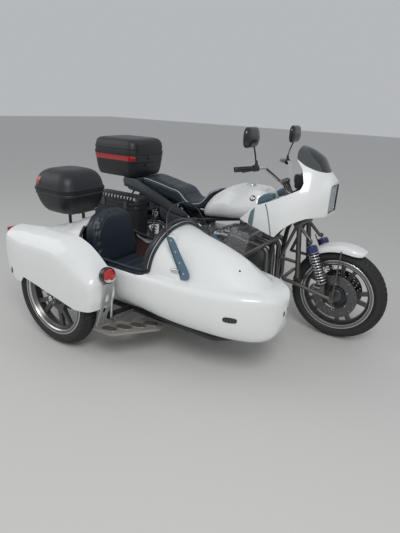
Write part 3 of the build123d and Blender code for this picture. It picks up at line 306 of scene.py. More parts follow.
def cut(piece, tool, operation="DIFFERENCE"):
    """Cut a piece with a closed tool, which is then thrown away."""
    change = piece.modifiers.new("cut", "BOOLEAN")
    change.operation = operation
    change.object = tool
    change.solver = "EXACT"
    change.material_mode = "INDEX"
    settled(piece)
    bpy.data.objects.remove(tool)
    return piece


def edged(piece, width, segments=3, degrees=30):
    """Round the edges sharper than an angle by a width in millimetres."""
    change = piece.modifiers.new("edges", "BEVEL")
    change.width = width / 1000
    change.segments = segments
    change.limit_method = "ANGLE"
    change.angle_limit = math.radians(degrees)
    return settled(piece)


def creased(piece, degrees=35):
    """Smooth shading that stays crisp at real edges."""
    piece.data.shade_smooth()
    piece.data.set_sharp_from_angle(angle=math.radians(degrees))
    return piece


def prism(outline, low, high, axis="Y"):
    """Closed tool from an outline, along Y from an outline in X and Z, or along Z or X."""
    points = []
    for along in (low, high):
        points += [{"Y": (a, along, b), "Z": (a, b, along), "X": (along, a, b)}[axis] for a, b in outline]
    count = len(outline)
    faces = [tuple(range(count)), tuple(range(2 * count - 1, count - 1, -1))]
    faces += [(i, (i + 1) % count, (i + 1) % count + count, i + count) for i in range(count)]
    return outward(new_piece("tool", place(points), faces, None))


# %% Mesh helpers: smooth tables and outlines
def eased(table, at):
    """Smooth values through a table whose first column is the position, without overshoot."""
    rows = np.asarray(table, float)
    x, y, at = rows[:, 0], rows[:, 1:], np.clip(at, rows[0, 0], rows[-1, 0])
    step = np.diff(x)[:, None]
    slope = np.diff(y, axis=0) / step
    lean = np.zeros_like(y)
    same = slope[:-1] * slope[1:] > 0
    weight_a, weight_b = 2 * step[1:] + step[:-1], step[1:] + 2 * step[:-1]
    with np.errstate(divide="ignore", invalid="ignore"):
        mixed = (weight_a + weight_b) / (weight_a / slope[:-1] + weight_b / slope[1:])
    lean[1:-1] = np.where(same, mixed, 0)
    lean[0], lean[-1] = slope[0], slope[-1]
    index = np.clip(np.searchsorted(x, at, side="right") - 1, 0, len(x) - 2)
    width = step[index]
    t = ((at - x[index])[:, None]) / width
    return (y[index] * (1 + 2 * t) * (1 - t) ** 2 + lean[index] * width * t * (1 - t) ** 2
            + y[index + 1] * t * t * (3 - 2 * t) + lean[index + 1] * width * t * t * (t - 1))


def rounded(points, radius, steps=6):
    """Closed outline with its corners rounded by short curves."""
    made = []
    count = len(points)
    for index in range(count):
        here, before, after = (np.array(points[i % count], float) for i in (index, index - 1, index + 1))
        back, ahead = before - here, after - here
        trim = min(radius, 0.48 * np.linalg.norm(back), 0.48 * np.linalg.norm(ahead))
        start = here + back / np.linalg.norm(back) * trim
        stop = here + ahead / np.linalg.norm(ahead) * trim
        for step in range(steps + 1):
            t = step / steps
            made.append(tuple((1 - t) ** 2 * start + 2 * t * (1 - t) * here + t * t * stop))
    return made


def reach(corners, centre, angles, softness):
    """How far a convex outline with softened corners reaches from its centre at each angle."""
    corners = np.asarray(corners, float)
    closed = np.vstack([corners, (corners * (-1, 1))[::-1]]) - (0, centre)
    total = np.zeros_like(angles)
    for here, after in zip(closed, np.roll(closed, -1, axis=0)):
        edge = after - here
        size = np.hypot(*edge)
        if size < 1e-6:
            continue
        normal = np.array([edge[1], -edge[0]]) / size
        away = normal @ here
        if away < 0:
            normal, away = -normal, -away
        facing = np.maximum(normal[0] * np.cos(angles) + normal[1] * np.sin(angles), 0)
        total += (facing / max(away, 1e-3)) ** softness
    return total ** (-1 / softness)


def swept_skin(x, angles, far, middle, side=0):
    """Grid of points from how far each section reaches round its centre line."""
    points = np.empty((len(x), len(angles), 3))
    points[..., 0] = np.asarray(x)[:, None]
    points[..., 1] = side + far * np.cos(angles)
    points[..., 2] = middle[:, None] + far * np.sin(angles)
    return points.reshape(-1, 3)


def half_at(skin_reach, x, z, steps=361):
    """Half width of a skin at a place along it and a height."""
    angles = np.linspace(-math.pi / 2, math.pi / 2, steps)
    far, middle = skin_reach(np.array([x], float), angles)
    return float(np.interp(z, middle[0] + far[0] * np.sin(angles), far[0] * np.cos(angles)))


# %% [markdown]
# Geometry Nodes do the repeating work: a tube swept along a drawn path, a spring from a spiral,
# and copies of one bolt, drilled hole or tread row turned about an axis.
# Each tree names its inputs, and the result is frozen into plain mesh before it joins its body.

# %% Tree helpers
def tree_of(name, inputs):
    """New tree with geometry in and out and its named inputs."""
    tree = bpy.data.node_groups.new(name, "GeometryNodeTree")
    tree.interface.new_socket("Geometry", in_out="INPUT", socket_type="NodeSocketGeometry")
    for label, kind in inputs + [("Material", "Material")]:
        tree.interface.new_socket(label, in_out="INPUT", socket_type="NodeSocket" + kind)
    tree.interface.new_socket("Geometry", in_out="OUTPUT", socket_type="NodeSocketGeometry")
    return tree, tree.nodes.new("NodeGroupInput"), tree.nodes.new("NodeGroupOutput")


def added(tree, *kinds):
    """New geometry nodes of those kinds."""
    return [tree.nodes.new("GeometryNode" + kind) for kind in kinds]


def wired(tree, *wires):
    """Links, each given as a node, its output, the next node and its input."""
    for source, output, target, into in wires:
        tree.links.new(source.outputs[output], target.inputs[into])


def finish_tree(tree, last, output, start, end):
    """Real geometry and its material end every tree."""
    realize, paint = added(tree, "RealizeInstances", "SetMaterial")
    wired(tree, (last, output, realize, "Geometry"), (realize, "Geometry", paint, "Geometry"),
          (start, "Material", paint, "Material"), (paint, "Geometry", end, "Geometry"))
    return tree


def piped(tree, line, output, ring, start, end):
    """A smooth closed skin carried along a line ends the tree."""
    skin, smooth = added(tree, "CurveToMesh", "SetShadeSmooth")
    skin.inputs["Fill Caps"].default_value = True
    wired(tree, (line, output, skin, "Curve"), (ring, "Curve", skin, "Profile Curve"),
          (skin, "Mesh", smooth, "Geometry"))
    return finish_tree(tree, smooth, "Geometry", start, end)


# %% Tube, turned copies and spring
def sweep_tree():
    """A round tube along the curve that comes in."""
    tree, start, end = tree_of("sweep", [("Radius", "Float"), ("Sides", "Int")])
    ring, = added(tree, "CurvePrimitiveCircle")
    wired(tree, (start, "Radius", ring, "Radius"), (start, "Sides", ring, "Resolution"))
    return piped(tree, start, "Geometry", ring, start, end)


def turned_tree():
    """Copies of what comes in, turned about its own Y axis through the whole circle."""
    tree, start, end = tree_of("turned_copies", [("Count", "Int")])
    line, index, copies = added(tree, "MeshLine", "InputIndex", "InstanceOnPoints")
    line.inputs["Offset"].default_value = (0, 0, 0)
    share, angle = tree.nodes.new("ShaderNodeMath"), tree.nodes.new("ShaderNodeMath")
    turn = tree.nodes.new("ShaderNodeCombineXYZ")
    share.operation, angle.operation = "DIVIDE", "MULTIPLY"
    angle.inputs[1].default_value = 2 * math.pi
    wired(tree, (start, "Count", line, "Count"), (index, "Index", share, 0), (start, "Count", share, 1),
          (share, 0, angle, 0), (angle, 0, turn, "Y"), (line, "Mesh", copies, "Points"),
          (start, "Geometry", copies, "Instance"), (turn, "Vector", copies, "Rotation"))
    return finish_tree(tree, copies, "Instances", start, end)


def spring_tree():
    """A coil spring along Z."""
    tree, start, end = tree_of("coil", [(label, "Float") for label in ("Turns", "Height", "Radius", "Wire")])
    spiral, ring = added(tree, "CurveSpiral", "CurvePrimitiveCircle")
    spiral.inputs["Resolution"].default_value = 26
    ring.inputs["Resolution"].default_value = 10
    wired(tree, (start, "Turns", spiral, "Rotations"), (start, "Height", spiral, "Height"),
          (start, "Radius", spiral, "Start Radius"), (start, "Radius", spiral, "End Radius"),
          (start, "Wire", ring, "Radius"))
    return piped(tree, spiral, "Curve", ring, start, end)


# %% Using the trees
def grown(piece, tree, **values):
    """Run a tree on a piece, setting its inputs by their identifiers, and keep the plain mesh."""
    change = piece.modifiers.new("grow", "NODES")
    change.node_group = tree
    sockets = {item.name: item.identifier for item in tree.interface.items_tree if item.in_out == "INPUT"}
    for label, value in values.items():
        change[sockets[label]] = value
    graph = bpy.context.evaluated_depsgraph_get()
    mesh = bpy.data.meshes.new_from_object(piece.evaluated_get(graph))
    name = piece.name
    plain = linked("grown", mesh)
    bpy.data.objects.remove(piece)
    plain.name = mesh.name = name
    return plain


SWEEP, TURNED, COIL = sweep_tree(), turned_tree(), spring_tree()
print("trees", [tree.name for tree in bpy.data.node_groups])


def tube(name, points, radius, material, body, closed=False, sides=14, smooth=True):
    """Round tube through points in millimetres, as a smooth curve or as straight runs."""
    curve = bpy.data.curves.new(name, "CURVE")
    curve.dimensions = "3D"
    spline = curve.splines.new("NURBS" if smooth else "POLY")
    spline.points.add(len(points) - 1)
    for target, point in zip(spline.points, place(points)):
        target.co = (*point, 1)
    spline.use_cyclic_u = closed
    if smooth:
        spline.order_u = 3
        spline.use_endpoint_u = not closed
        spline.resolution_u = 6
    made = grown(linked(name, curve), SWEEP, Radius=radius / 1000, Sides=sides, Material=material)
    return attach(made, body)


# %% Joining and turning
def joined(name, pieces):
    """Several pieces of one body as one mesh."""
    work = bmesh.new()
    materials = []
    for piece in pieces:
        shift = []
        for material in piece.data.materials:
            if material not in materials:
                materials.append(material)
            shift.append(materials.index(material))
        before = len(work.faces)
        work.from_mesh(piece.data)
        work.faces.ensure_lookup_table()
        for face in work.faces[before:]:
            face.material_index = shift[face.material_index] if shift else 0
    body = pieces[0]["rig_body"]
    mesh = bpy.data.meshes.new(name)
    work.to_mesh(mesh)
    work.free()
    for material in materials:
        mesh.materials.append(material)
    for piece in pieces:
        bpy.data.objects.remove(piece)
    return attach(linked(name, mesh), body)


def spun(name, profile, centre, material, body, steps=160, axis="Y"):
    """Closed profile of (radius, along) turned about an axis through a centre."""
    count = len(profile)
    points = []
    for step in range(steps):
        angle = 2 * math.pi * step / steps
        for radius, along in profile:
            a, b = radius * math.cos(angle), radius * math.sin(angle)
            offset = {"Y": (a, along, b), "X": (along, a, b), "Z": (a, b, along)}[axis]
            points.append(np.add(centre, offset))
    faces = []
    for step in range(steps):
        after = (step + 1) % steps
        for index in range(count):
            turn = (index + 1) % count
            faces.append((step * count + index, step * count + turn, after * count + turn,
                          after * count + index))
    return outward(new_piece(name, place(points), faces, body, material))


# %% [markdown]
# The boat. At each place along its length the hull is one soft convex outline, and the turtle
# tail or the raised hood is a second. The larger of the two, blended where they meet, is the
# skin, so the hood grows out of the deck with a soft crease as on the real moulding.

# %% Boat tables
# X, half width, bottom, deck
HULL = [(-521, 30, 484, 520), (-517, 96, 458, 530), (-502, 152, 424, 536), (-462, 192, 388, 548),
        (-380, 226, 354, 554), (-180, 284, 312, 554), (60, 318, 308, 554), (420, 329, 308, 554),
        (570, 329, 302, 554), (790, 327, 277, 554), (880, 324, 273, 554), (1120, 292, 265, 554),
        (1210, 262, 261, 554), (1285, 228, 261, 553), (1345, 190, 267, 548), (1388, 148, 284, 538),
        (1414, 108, 312, 522), (1429, 60, 366, 500), (1435, 16, 424, 476)]
# X, foot half width, foot height, shoulder half width and height, crown half width and height
UPPER = [(-521, 20, 470, 16, 490, 10, 510), (-502, 130, 470, 122, 505, 84, 534),
         (-462, 176, 470, 166, 520, 100, 556), (-380, 220, 474, 206, 556, 116, 594),
         (-200, 274, 488, 240, 606, 128, 652), (52, 294, 500, 252, 628, 100, 744),
         (200, 294, 500, 252, 628, 100, 744), (450, 290, 500, 262, 620, 110, 740),
         (680, 270, 550, 252, 686, 118, 803), (860, 246, 545, 212, 640, 98, 760),
         (1000, 223, 545, 188, 620, 82, 728), (1150, 193, 545, 156, 596, 62, 678),
         (1240, 164, 545, 130, 582, 54, 626), (1284, 138, 545, 110, 572, 48, 596),
         (1308, 116, 543, 92, 562, 38, 576), (1322, 92, 538, 72, 550, 24, 558),
         (1332, 40, 500, 32, 508, 12, 514), (1346, 4, 440, 4, 446, 3, 452), (1435, 4, 440, 4, 446, 3, 452)]
CENTRE = [(-521, 502), (-380, 480), (-160, 446), (1200, 430), (1400, 448), (1435, 452)]
RIM = [(52, 900), (52, 700), (120, 585), (300, 556), (606, 552), (672, 566), (732, 900)]
# how crisp the line between hull and hood is
CREASE = 44
MOUTH = [(130, 286), (690, 286), (690, -286), (130, -286)]
BOAT_MIDDLE, BOAT_HALF_LONG, BOAT_WALL = 457, 978, 9


# %% Boat surface
def boat_reach(x, angles, inset=0):
    """Reach of the boat's skin from its centre line, as rows along X and columns round it."""
    x = np.atleast_1d(np.asarray(x, float))
    hull, upper, middle = eased(HULL, x), eased(UPPER, x), eased(CENTRE, x)[:, 0]
    rows = []
    for (half, low, high), top, centre in zip(hull, upper, middle):
        tall = high - low
        outline = [(0.8 * half, low), (0.962 * half, low + 0.19 * tall), (half, low + 0.6 * tall),
                   (0.91 * half, high)]
        below = reach(outline, centre, angles, 9)
        crown = [(0.8 * top[0], centre - 0.5 * (centre - low)), (top[0], top[1]), (top[2], top[3]),
                 (top[4], top[5])]
        above = reach(crown, centre, angles, 11) if top[5] > centre + 4 else np.full_like(angles, 1.0)
        rows.append((below ** CREASE + above ** CREASE) ** (1 / CREASE) - inset)
    return np.array(rows), middle


def boat_skin(x, columns, inset=0):
    """Grid of points on the boat's skin."""
    angles = np.linspace(0, 2 * math.pi, columns, endpoint=False)
    return swept_skin(x, angles, *boat_reach(x, angles, inset), BOAT_Y)


def boat_half(x, z):
    """Half width of the boat at a place along it and a height."""
    return half_at(boat_reach, x, z, 721)


def boat_point(x, degrees, out=0):
    """Point on the boat's skin at an angle above its right side, moved out a little."""
    angle = math.radians(180 - degrees)
    far, middle = boat_reach([x], np.array([angle]), -out)
    return (x, BOAT_Y + far[0, 0] * math.cos(angle), middle[0] + far[0, 0] * math.sin(angle))


# %% A skin with its lining
def double_skin(name, outer, inner, columns, body, tips=None):
    """Closed outer skin with a reversed lining inside it, as one mesh of two finishes."""
    rows = len(outer) // columns
    points = [outer]
    if tips is None:
        faces = closed_faces(rows, columns)
    else:
        faces = grid_faces(rows, columns, closed=True)
        points.append(np.array(tips, float))
        last_row, first, last = (rows - 1) * columns, len(outer), len(outer) + 1
        faces += [(first, (i + 1) % columns, i) for i in range(columns)]
        faces += [(last, last_row + i, last_row + (i + 1) % columns) for i in range(columns)]
    start = sum(len(group) for group in points)
    inner_rows = len(inner) // columns
    lining_faces = grid_faces(inner_rows, columns, closed=True, start=start, flip=True)
    lining_faces.append(tuple(start + i for i in range(columns)))
    lining_faces.append(tuple(start + (inner_rows - 1) * columns + i for i in reversed(range(columns))))
    points.append(inner)
    kinds = [0] * len(faces) + [1] * len(lining_faces)
    skin = new_piece(name, place(np.vstack(points)), faces + lining_faces, body, white_paint, lining,
                     indices=kinds)
    work = bmesh.new()
    work.from_mesh(skin.data)
    if work.calc_volume(signed=True) < 0:
        bmesh.ops.reverse_faces(work, faces=work.faces)
    work.to_mesh(skin.data)
    work.free()
    return skin


# %% [markdown]
# The shell is glass-fibre: white outside, dark red lining inside. Two grids, one 9 mm inside the
# other, make a real wall. The cockpit is cut by two tools with exact Booleans, because its rim runs
# across sections and would leave a ragged edge if faces were only deleted.

# %% Boat shell
def boat_shell():
    """Outer skin, inner lining and the cockpit cut out of both."""
    columns = 144
    x = BOAT_MIDDLE - BOAT_HALF_LONG * np.cos(math.pi * np.linspace(0, 1, 170))
    inner_x = np.linspace(-40, 1250, 76)
    shell = double_skin("boat_skin", boat_skin(x, columns), boat_skin(inner_x, columns, BOAT_WALL), columns,
                        "outfit", tips=[(-523, BOAT_Y, 503), (1437, BOAT_Y, 452)])
    cut(shell, prism(rounded(RIM, 46), BOAT_Y - 400, BOAT_Y + 400))
    mouth = [(x, BOAT_Y + y) for x, y in MOUTH]
    cut(shell, prism(rounded(mouth, 90), 500, 601, axis="Z"))
    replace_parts(shell, "boat_shell")
    print("boat faces", len(shell.data.polygons))
    return creased(shell, 30)


boat_shell()

# %% [markdown]
# Bodywork. The wheel pod is one curved patch: lines fan from its arch to the slanting wheel
# opening and round over its shoulder on the way. The fairing and the tank are lofted like the
# boat, then trimmed by side outlines, so the screen continues the fairing's own surface.

# %% Panel helpers
def face_away(piece, x, y, z):
    """Point an open panel's faces away from a place inside it."""
    middle = spot(x, y, z)
    lean = sum(face.normal.dot(face.center - middle) * face.area for face in piece.data.polygons)
    if lean < 0:
        piece.data.flip_normals()
    return piece


def thickened(piece, wall, inner=None):
    """Give an open panel its wall on the inside, with its own finish there."""
    if inner:
        piece.data.materials.append(inner)
    change = piece.modifiers.new("wall", "SOLIDIFY")
    change.thickness = wall / 1000
    change.offset = -1
    change.use_even_offset = True
    change.material_offset = 1 if inner else 0
    return settled(piece)


def softened(node, width, material):
    """Copy of a CAD node with rounded edges, shown in the node's place."""
    source = frame["nodes"][node]
    mesh = source.data.copy()
    piece = linked(node + "_soft", mesh)
    work = bmesh.new()
    work.from_mesh(mesh)
    bmesh.ops.remove_doubles(work, verts=work.verts, dist=1e-5)
    bmesh.ops.dissolve_limit(work, angle_limit=math.radians(1.2), verts=work.verts, edges=work.edges)
    work.to_mesh(mesh)
    work.free()
    mesh.materials.clear()
    mesh.materials.append(material)
    mesh.polygons.foreach_set("material_index", [0] * len(mesh.polygons))
    creased(edged(piece, width, 2, 38), 50)
    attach(piece, body_of(source)[0])
    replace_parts(piece, node)
    return piece


def along_path(points, count):
    """Evenly spaced points on a smooth curve through the given ones."""
    points = np.asarray(points, float)
    run = np.concatenate([[0], np.cumsum(np.linalg.norm(np.diff(points, axis=0), axis=1))])
    return eased(np.column_stack([run / run[-1], points]), np.linspace(0, 1, count))


# %% [markdown]
# The wheel pod is a moulded white shell over the sidecar's wheel. It could be cut from a block, but
# its shoulder runs from sharp at the front to soft over the top, so it is lofted: each line starts
# at the arch, ends at the wheel opening and bows outward by a measured shoulder.

# %% Wheel pod
POD_ARCH = [(-250, 372), (-288, 430), (-305, 500), (-304, 580), (-294, 650), (-286, 688), (-268, 702),
            (-224, 705), (-160, 708), (-80, 713), (20, 718), (126, 718), (222, 707), (316, 676), (384, 632),
            (446, 580), (486, 542), (502, 506), (504, 420), (488, 335)]
# share of the arch, X, Z of the wheel opening's edge
POD_MOUTH = [(0, -140, 372), (0.1, -132, 380), (0.2, -105, 410), (0.3, -60, 403), (0.62, 150, 361),
             (0.9, 320, 327), (1, 345, 322)]
# how far in from the arch, how far out from the inner edge
POD_SHOULDER = [(0, 0), (6, 36), (24, 86), (52, 124), (84, 149), (98, 156), (130, 164), (200, 170),
                (300, 172.5), (500, 173)]
POD_PLAN = [(-320, 0.84), (-270, 0.94), (-180, 1), (330, 1), (440, 0.98), (520, 0.92)]
# share of the arch, and how tight the shoulder is there
POD_TIGHT = [(0, 3.4), (0.2, 3.4), (0.28, 1.7), (0.38, 1), (0.72, 1), (0.8, 1.6), (0.88, 2.8), (1, 3)]
# X, the pod's inner edge
POD_EDGE = [(-320, -1124), (-180, -1106), (20, -1080), (120, -1075), (520, -1075)]
POD_OUTSIDE = -1248


def wheel_pod():
    """Sidecar wheel's pod with its soft ridge below the top."""
    rows, columns = 150, 44
    arch = along_path(POD_ARCH, rows)
    mouth = eased(POD_MOUTH, np.linspace(0, 1, rows))
    tight = eased(POD_TIGHT, np.linspace(0, 1, rows))[:, 0]
    points = []
    for start, stop, sharp in zip(arch, mouth, tight):
        line = stop - start
        size = np.linalg.norm(line)
        inset = size * np.linspace(0, 1, columns) ** 1.7
        out = eased(POD_SHOULDER, inset * sharp)[:, 0]
        side = start + line * (inset / size)[:, None]
        wide = eased(POD_PLAN, side[:, 0])[:, 0]
        edge = eased(POD_EDGE, side[:, 0])[:, 0]
        wide *= (edge - POD_OUTSIDE) / (POD_EDGE[-1][1] - POD_OUTSIDE)
        points += [(x, e - o * w, z) for (x, z), e, o, w in zip(side, edge, out, wide)]
    pod = new_piece("wheel_pod", place(points), grid_faces(rows, columns), "outfit", white_paint)
    face_away(pod, 130, -1075, 450)
    thickened(pod, 4, inner_white_and_rib_highlight)
    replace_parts(pod, "sidecar_fender")
    return creased(pod, 40)


pod = wheel_pod()
print("pod faces", len(pod.data.polygons))


# %% [markdown]
# The half fairing and its tinted screen are one flowing surface split by a line. Both are cut out of
# the same lofted skin with two side outlines that share that line, so they meet without a step.

# %% Fairing and screen
FAIRING_BACK, FAIRING_LONG = 880, 524
# X, then half width and height four times from low to high
FAIRING = [(880, 268, 640, 298, 840, 250, 1100, 90, 1290), (1150, 280, 640, 304, 860, 182, 1180, 66, 1276),
           (1300, 222, 740, 240, 950, 144, 1140, 58, 1212), (1362, 152, 798, 172, 960, 118, 1070, 49, 1116),
           (1392, 116, 830, 131, 944, 108, 1046, 46, 1080), (1404, 99, 846, 112, 940, 96, 1032, 42, 1060)]
FAIRING_CENTRE = [(880, 930), (1150, 930), (1300, 962), (1404, 948)]
FAIRING_SIDE = [(884, 776), (985, 880), (1100, 930), (1190, 978), (1256, 1014), (1264, 1050), (1232, 1130),
                (1180, 1186), (1240, 1150), (1300, 1128), (1356, 1110), (1430, 1106), (1430, 838),
                (1388, 846), (1312, 840), (1240, 806), (1186, 760), (1140, 700)]
SCREEN_SIDE = [(1180.3, 1186.3), (1240.2, 1150.3), (1300.2, 1128.3), (1356.1, 1110.3), (1430, 1106.3),
               (1430, 1320), (1172, 1320), (1168, 1230)]


def fairing_reach(x, angles, inset=0):
    """Reach of the fairing's skin from its centre line."""
    table, middle = eased(FAIRING, x), eased(FAIRING_CENTRE, x)[:, 0]
    rows = [reach(row.reshape(4, 2), centre, angles, 10) - inset for row, centre in zip(table, middle)]
    return np.array(rows), middle


def fairing_skin(x, columns, inset=0):
    """Grid of points on the fairing's skin."""
    angles = np.linspace(0, 2 * math.pi, columns, endpoint=False)
    return swept_skin(x, angles, *fairing_reach(x, angles, inset))


def fairing_part(name, outline, wall, material, inner_material):
    """Part of the fairing's double skin inside a side outline."""
    columns = 120
    x = FAIRING_BACK + FAIRING_LONG * np.sin(np.linspace(0, math.pi / 2, 56)) ** 1.2
    inner_x = np.concatenate([[FAIRING_BACK - 8], x[1:-1], [FAIRING_BACK + FAIRING_LONG - wall]])
    part = double_skin(name, fairing_skin(x, columns), fairing_skin(np.sort(inner_x), columns, wall),
                       columns, "outfit")
    part.data.materials[0] = material
    part.data.materials[1] = inner_material
    return cut(part, prism(rounded(outline, 10), -400, 400), "INTERSECT")


fairing = fairing_part("fairing_skin", FAIRING_SIDE, 5, white_paint, case_plastic)
lamp_room = [(-86, 858), (86, 858), (86, 1036), (-86, 1036)]
cut(fairing, prism(rounded(lamp_room, 18), 1290, 1500, axis="X"))
creased(fairing, 35)
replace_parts(fairing, "fairing_shell")
screen = fairing_part("fairing_glass", SCREEN_SIDE, 3, smoke, smoke)
creased(screen, 35)
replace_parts(screen, "fairing_screen")
print("fairing faces", len(fairing.data.polygons), len(screen.data.polygons))


# %% [markdown]
# The fairing's side carries one broad band and one thin line of grey-blue paint. They could be
# painted with a mask, but thin skins laid half a millimetre over the surface keep crisp edges.

# %% Fairing stripes
STRIPES = {"wide": [((950, 760), (983, 746)), ((953, 800), (988, 800)), ((962, 842), (990, 872))],
           "thin": [((1113, 708), (1121, 708)), ((1098, 780), (1106, 780)), ((1078, 850), (1086, 850)),
                    ((1054, 902), (1062, 906))]}


def stripe(name, edges, side):
    """Painted band on the fairing's side between two edges."""
    rows, columns = 40, 6
    left = along_path([edge[0] for edge in edges], rows)
    right = along_path([edge[1] for edge in edges], rows)
    points = []
    for a, b in zip(left, right):
        for share in np.linspace(0, 1, columns):
            x, z = a + (b - a) * share
            points.append((x, side * (half_at(fairing_reach, x, z) + 0.5), z))
    band = new_piece(name, place(points), grid_faces(rows, columns), "outfit", stripe_paint)
    return thickened(face_away(band, 1050, 0, 820), 0.4)


stripe_paint = finish("stripe_paint", (0.13, 0.2, 0.215), 0.24, coat=0.4, grain=50, rough_spread=0.04)
bands = [stripe(key + ("_right" if side < 0 else "_left"), edges, side)
         for key, edges in STRIPES.items() for side in (-1, 1)]
joined("fairing_stripes", bands)
print("stripes", len(bands))


# %% [markdown]
# The tank is pressed steel, pulled in over the knees and rounded off at both ends. Its sections are
# lofted like the boat's, shrunk towards the ends by a power curve, and a tunnel is cut from below
# for the frame's spine, as the real one straddles it.

# %% Fuel tank
TANK_MIDDLE, TANK_HALF_LONG = 744, 270
TANK = [(470, 100, 682, 132, 716, 104, 750), (600, 124, 702, 174, 766, 118, 884),
        (760, 150, 722, 208, 800, 130, 958), (920, 140, 745, 196, 810, 122, 956),
        (1012, 118, 785, 160, 826, 104, 926)]
TANK_CENTRE = [(470, 716), (600, 790), (760, 830), (920, 845), (1012, 850)]
TUNNEL = [(400, 560), (400, 661.6), (480, 676.6), (950, 764.6), (1110, 854.6), (1110, 560)]


def tank_reach(x, angles):
    """Reach of the tank's skin, rounded off at both ends."""
    share = (x - TANK_MIDDLE) / TANK_HALF_LONG
    ends = np.clip(1 - np.abs(share) ** 9, 0, 1) ** 0.36
    middle = eased(TANK_CENTRE, x)[:, 0]
    rows = [reach(row.reshape(3, 2), centre, angles, 7) for row, centre in zip(eased(TANK, x), middle)]
    return np.array(rows) * ends[:, None], middle


def fuel_tank():
    """Smooth tank over the frame's spine."""
    rows, columns = 90, 96
    x = TANK_MIDDLE - (TANK_HALF_LONG - 0.1) * np.cos(math.pi * np.linspace(0, 1, rows))
    angles = np.linspace(0, 2 * math.pi, columns, endpoint=False)
    points = swept_skin(x, angles, *tank_reach(x, angles))
    tank = outward(new_piece("tank_skin", place(points), closed_faces(rows, columns), "outfit", white_paint))
    cut(tank, prism(TUNNEL, -100, 100))
    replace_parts(tank, "fuel_tank")
    return creased(tank, 35)


tank = fuel_tank()
print("tank faces", len(tank.data.polygons))


# %% [markdown]
# Small parts of the tank: a turned filler cap, a round badge left bare on each side and leaned with
# the tank's flank, and the blue-grey knee panel that fills the gap to the fairing.

# %% Tank cap and badges
cap_profile = [(0.5, 946), (38, 946), (38, 957), (36, 960), (31, 961), (30, 966), (28, 969), (0.5, 970)]
spun("tank_cap", cap_profile, (820, 0, 0), bright_alloy, "outfit", 64, "Z")
for side, word in SIDES:
    badge_y = side * half_at(tank_reach, 906, 899)
    rim = [(15.5, -4), (21, -4), (21, 1.2), (19, 2.4), (15.5, 1.6)]
    face = [(0.5, -4), (15.5, -4), (15.5, 1), (0.5, 1.4)]
    for profile, material in ((rim, gloss_black), (face, bright_alloy)):
        disc = spun("badge_" + word, [(radius, side * along) for radius, along in profile],
                    (906, badge_y, 899), material, "outfit", 48, "Y")
        lean = Matrix.Translation(spot(906, badge_y, 899)) @ Matrix.Rotation(side * math.radians(32), 4, "X")
        disc.data.transform(lean @ Matrix.Translation(-spot(906, badge_y, 899)))
PANEL_SIDE = [(952, 868), (956, 912), (1000, 944), (1052, 950), (1062, 918), (1000, 884)]
panel_blue = finish("panel_blue", (0.1, 0.17, 0.22), 0.4, bump=0.2, grain=120, rough_spread=0.06)
for side, word in SIDES:
    panel = prism(rounded(PANEL_SIDE, 12), *sorted((side * 112, side * 168)))
    panel.data.materials.append(panel_blue)
    panel.name = "knee_panel_" + word
    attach(creased(edged(panel, 8, 3, 50), 40), "outfit")
print("cap, badges and knee panels done")


# %% [markdown]
# Both mudguards are arched sheets. A line of points turned round the axle gives the arch, a
# superellipse the rolled crown, and the front one narrows to a rounded tip over its last degrees.

# %% Mudguards
def mudguard(name, node, body, centre, half, low, crown, back, front, material, tip):
    """Arched guard over a tyre, its crown rounded and its front tapering to a tip."""
    rows, columns = 90, 34
    points = []
    for degrees in np.linspace(back, front, rows):
        near = np.clip((front - degrees) / tip, 0, 1)
        fade = (1 - (1 - near) ** 2) ** 0.5 if tip else 1
        wide = half * (0.45 + 0.55 * fade)
        lowest = crown - (crown - low) * (0.35 + 0.65 * fade)
        angle = math.radians(degrees)
        for turn in np.linspace(0, math.pi, columns):
            c, s = math.cos(turn), math.sin(turn)
            y = wide * math.copysign(abs(c) ** 0.5, c)
            radius = lowest + (crown - lowest) * abs(s) ** 0.62
            points.append((centre[0] + radius * math.sin(angle), centre[1] + y,
                           centre[2] + radius * math.cos(angle)))
    guard = new_piece(name, place(points), grid_faces(rows, columns), body, material)
    face_away(guard, centre[0], centre[1], centre[2])
    thickened(guard, 3, gloss_black)
    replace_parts(guard, node)
    return creased(guard, 40)


mudguard("front_guard", "front_mudguard", "steering", WHEELS["front"], 78, 308, 350, -27, 24, white_paint, 16)
mudguard("rear_guard", "rear_mudguard", "outfit", WHEELS["rear"], 76, 312, 352, -75, 45, gloss_black, 6)
print("mudguards done")

# %% [markdown]
# Wheels. Each rim is turned from a profile with a machined lip, the web is cut through by fans and
# slots to leave five pairs of spokes, and drilled discs and bolts are copied round the axle.

# %% Wheel helpers
def moved(piece, x, y, z):
    """Shift a piece made about the world's origin to a place in the vehicle."""
    piece.data.transform(Matrix.Translation(spot(x, y, z)))
    return piece


def centred(piece):
    """Bring a piece made from vehicle millimetres about the rear axle's foot back to the origin."""
    piece.data.transform(Matrix.Translation(-spot(0, 0, 0)))
    return piece


def turned_copies(piece, count, material):
    """The piece repeated round the Y axis through the origin."""
    return grown(piece, TURNED, Count=count, Material=material)


def arc_through(first, middle, last, steps):
    """Points of the circle through three points."""
    (ax, ay), (bx, by), (cx, cy) = first, middle, last
    d = 2 * (ax * (by - cy) + bx * (cy - ay) + cx * (ay - by))
    a2, b2, c2 = ax * ax + ay * ay, bx * bx + by * by, cx * cx + cy * cy
    ux = (a2 * (by - cy) + b2 * (cy - ay) + c2 * (ay - by)) / d
    uy = (a2 * (cx - bx) + b2 * (ax - cx) + c2 * (bx - ax)) / d
    radius = math.hypot(ax - ux, ay - uy)
    start, mid, stop = (math.atan2(y - uy, x - ux) for x, y in (first, middle, last))
    while mid < start:
        mid += 2 * math.pi
    while stop < start:
        stop += 2 * math.pi
    if mid > stop:
        stop -= 2 * math.pi
    angles = np.linspace(start, stop, steps)
    return [(ux + radius * math.cos(a), uy + radius * math.sin(a)) for a in angles]


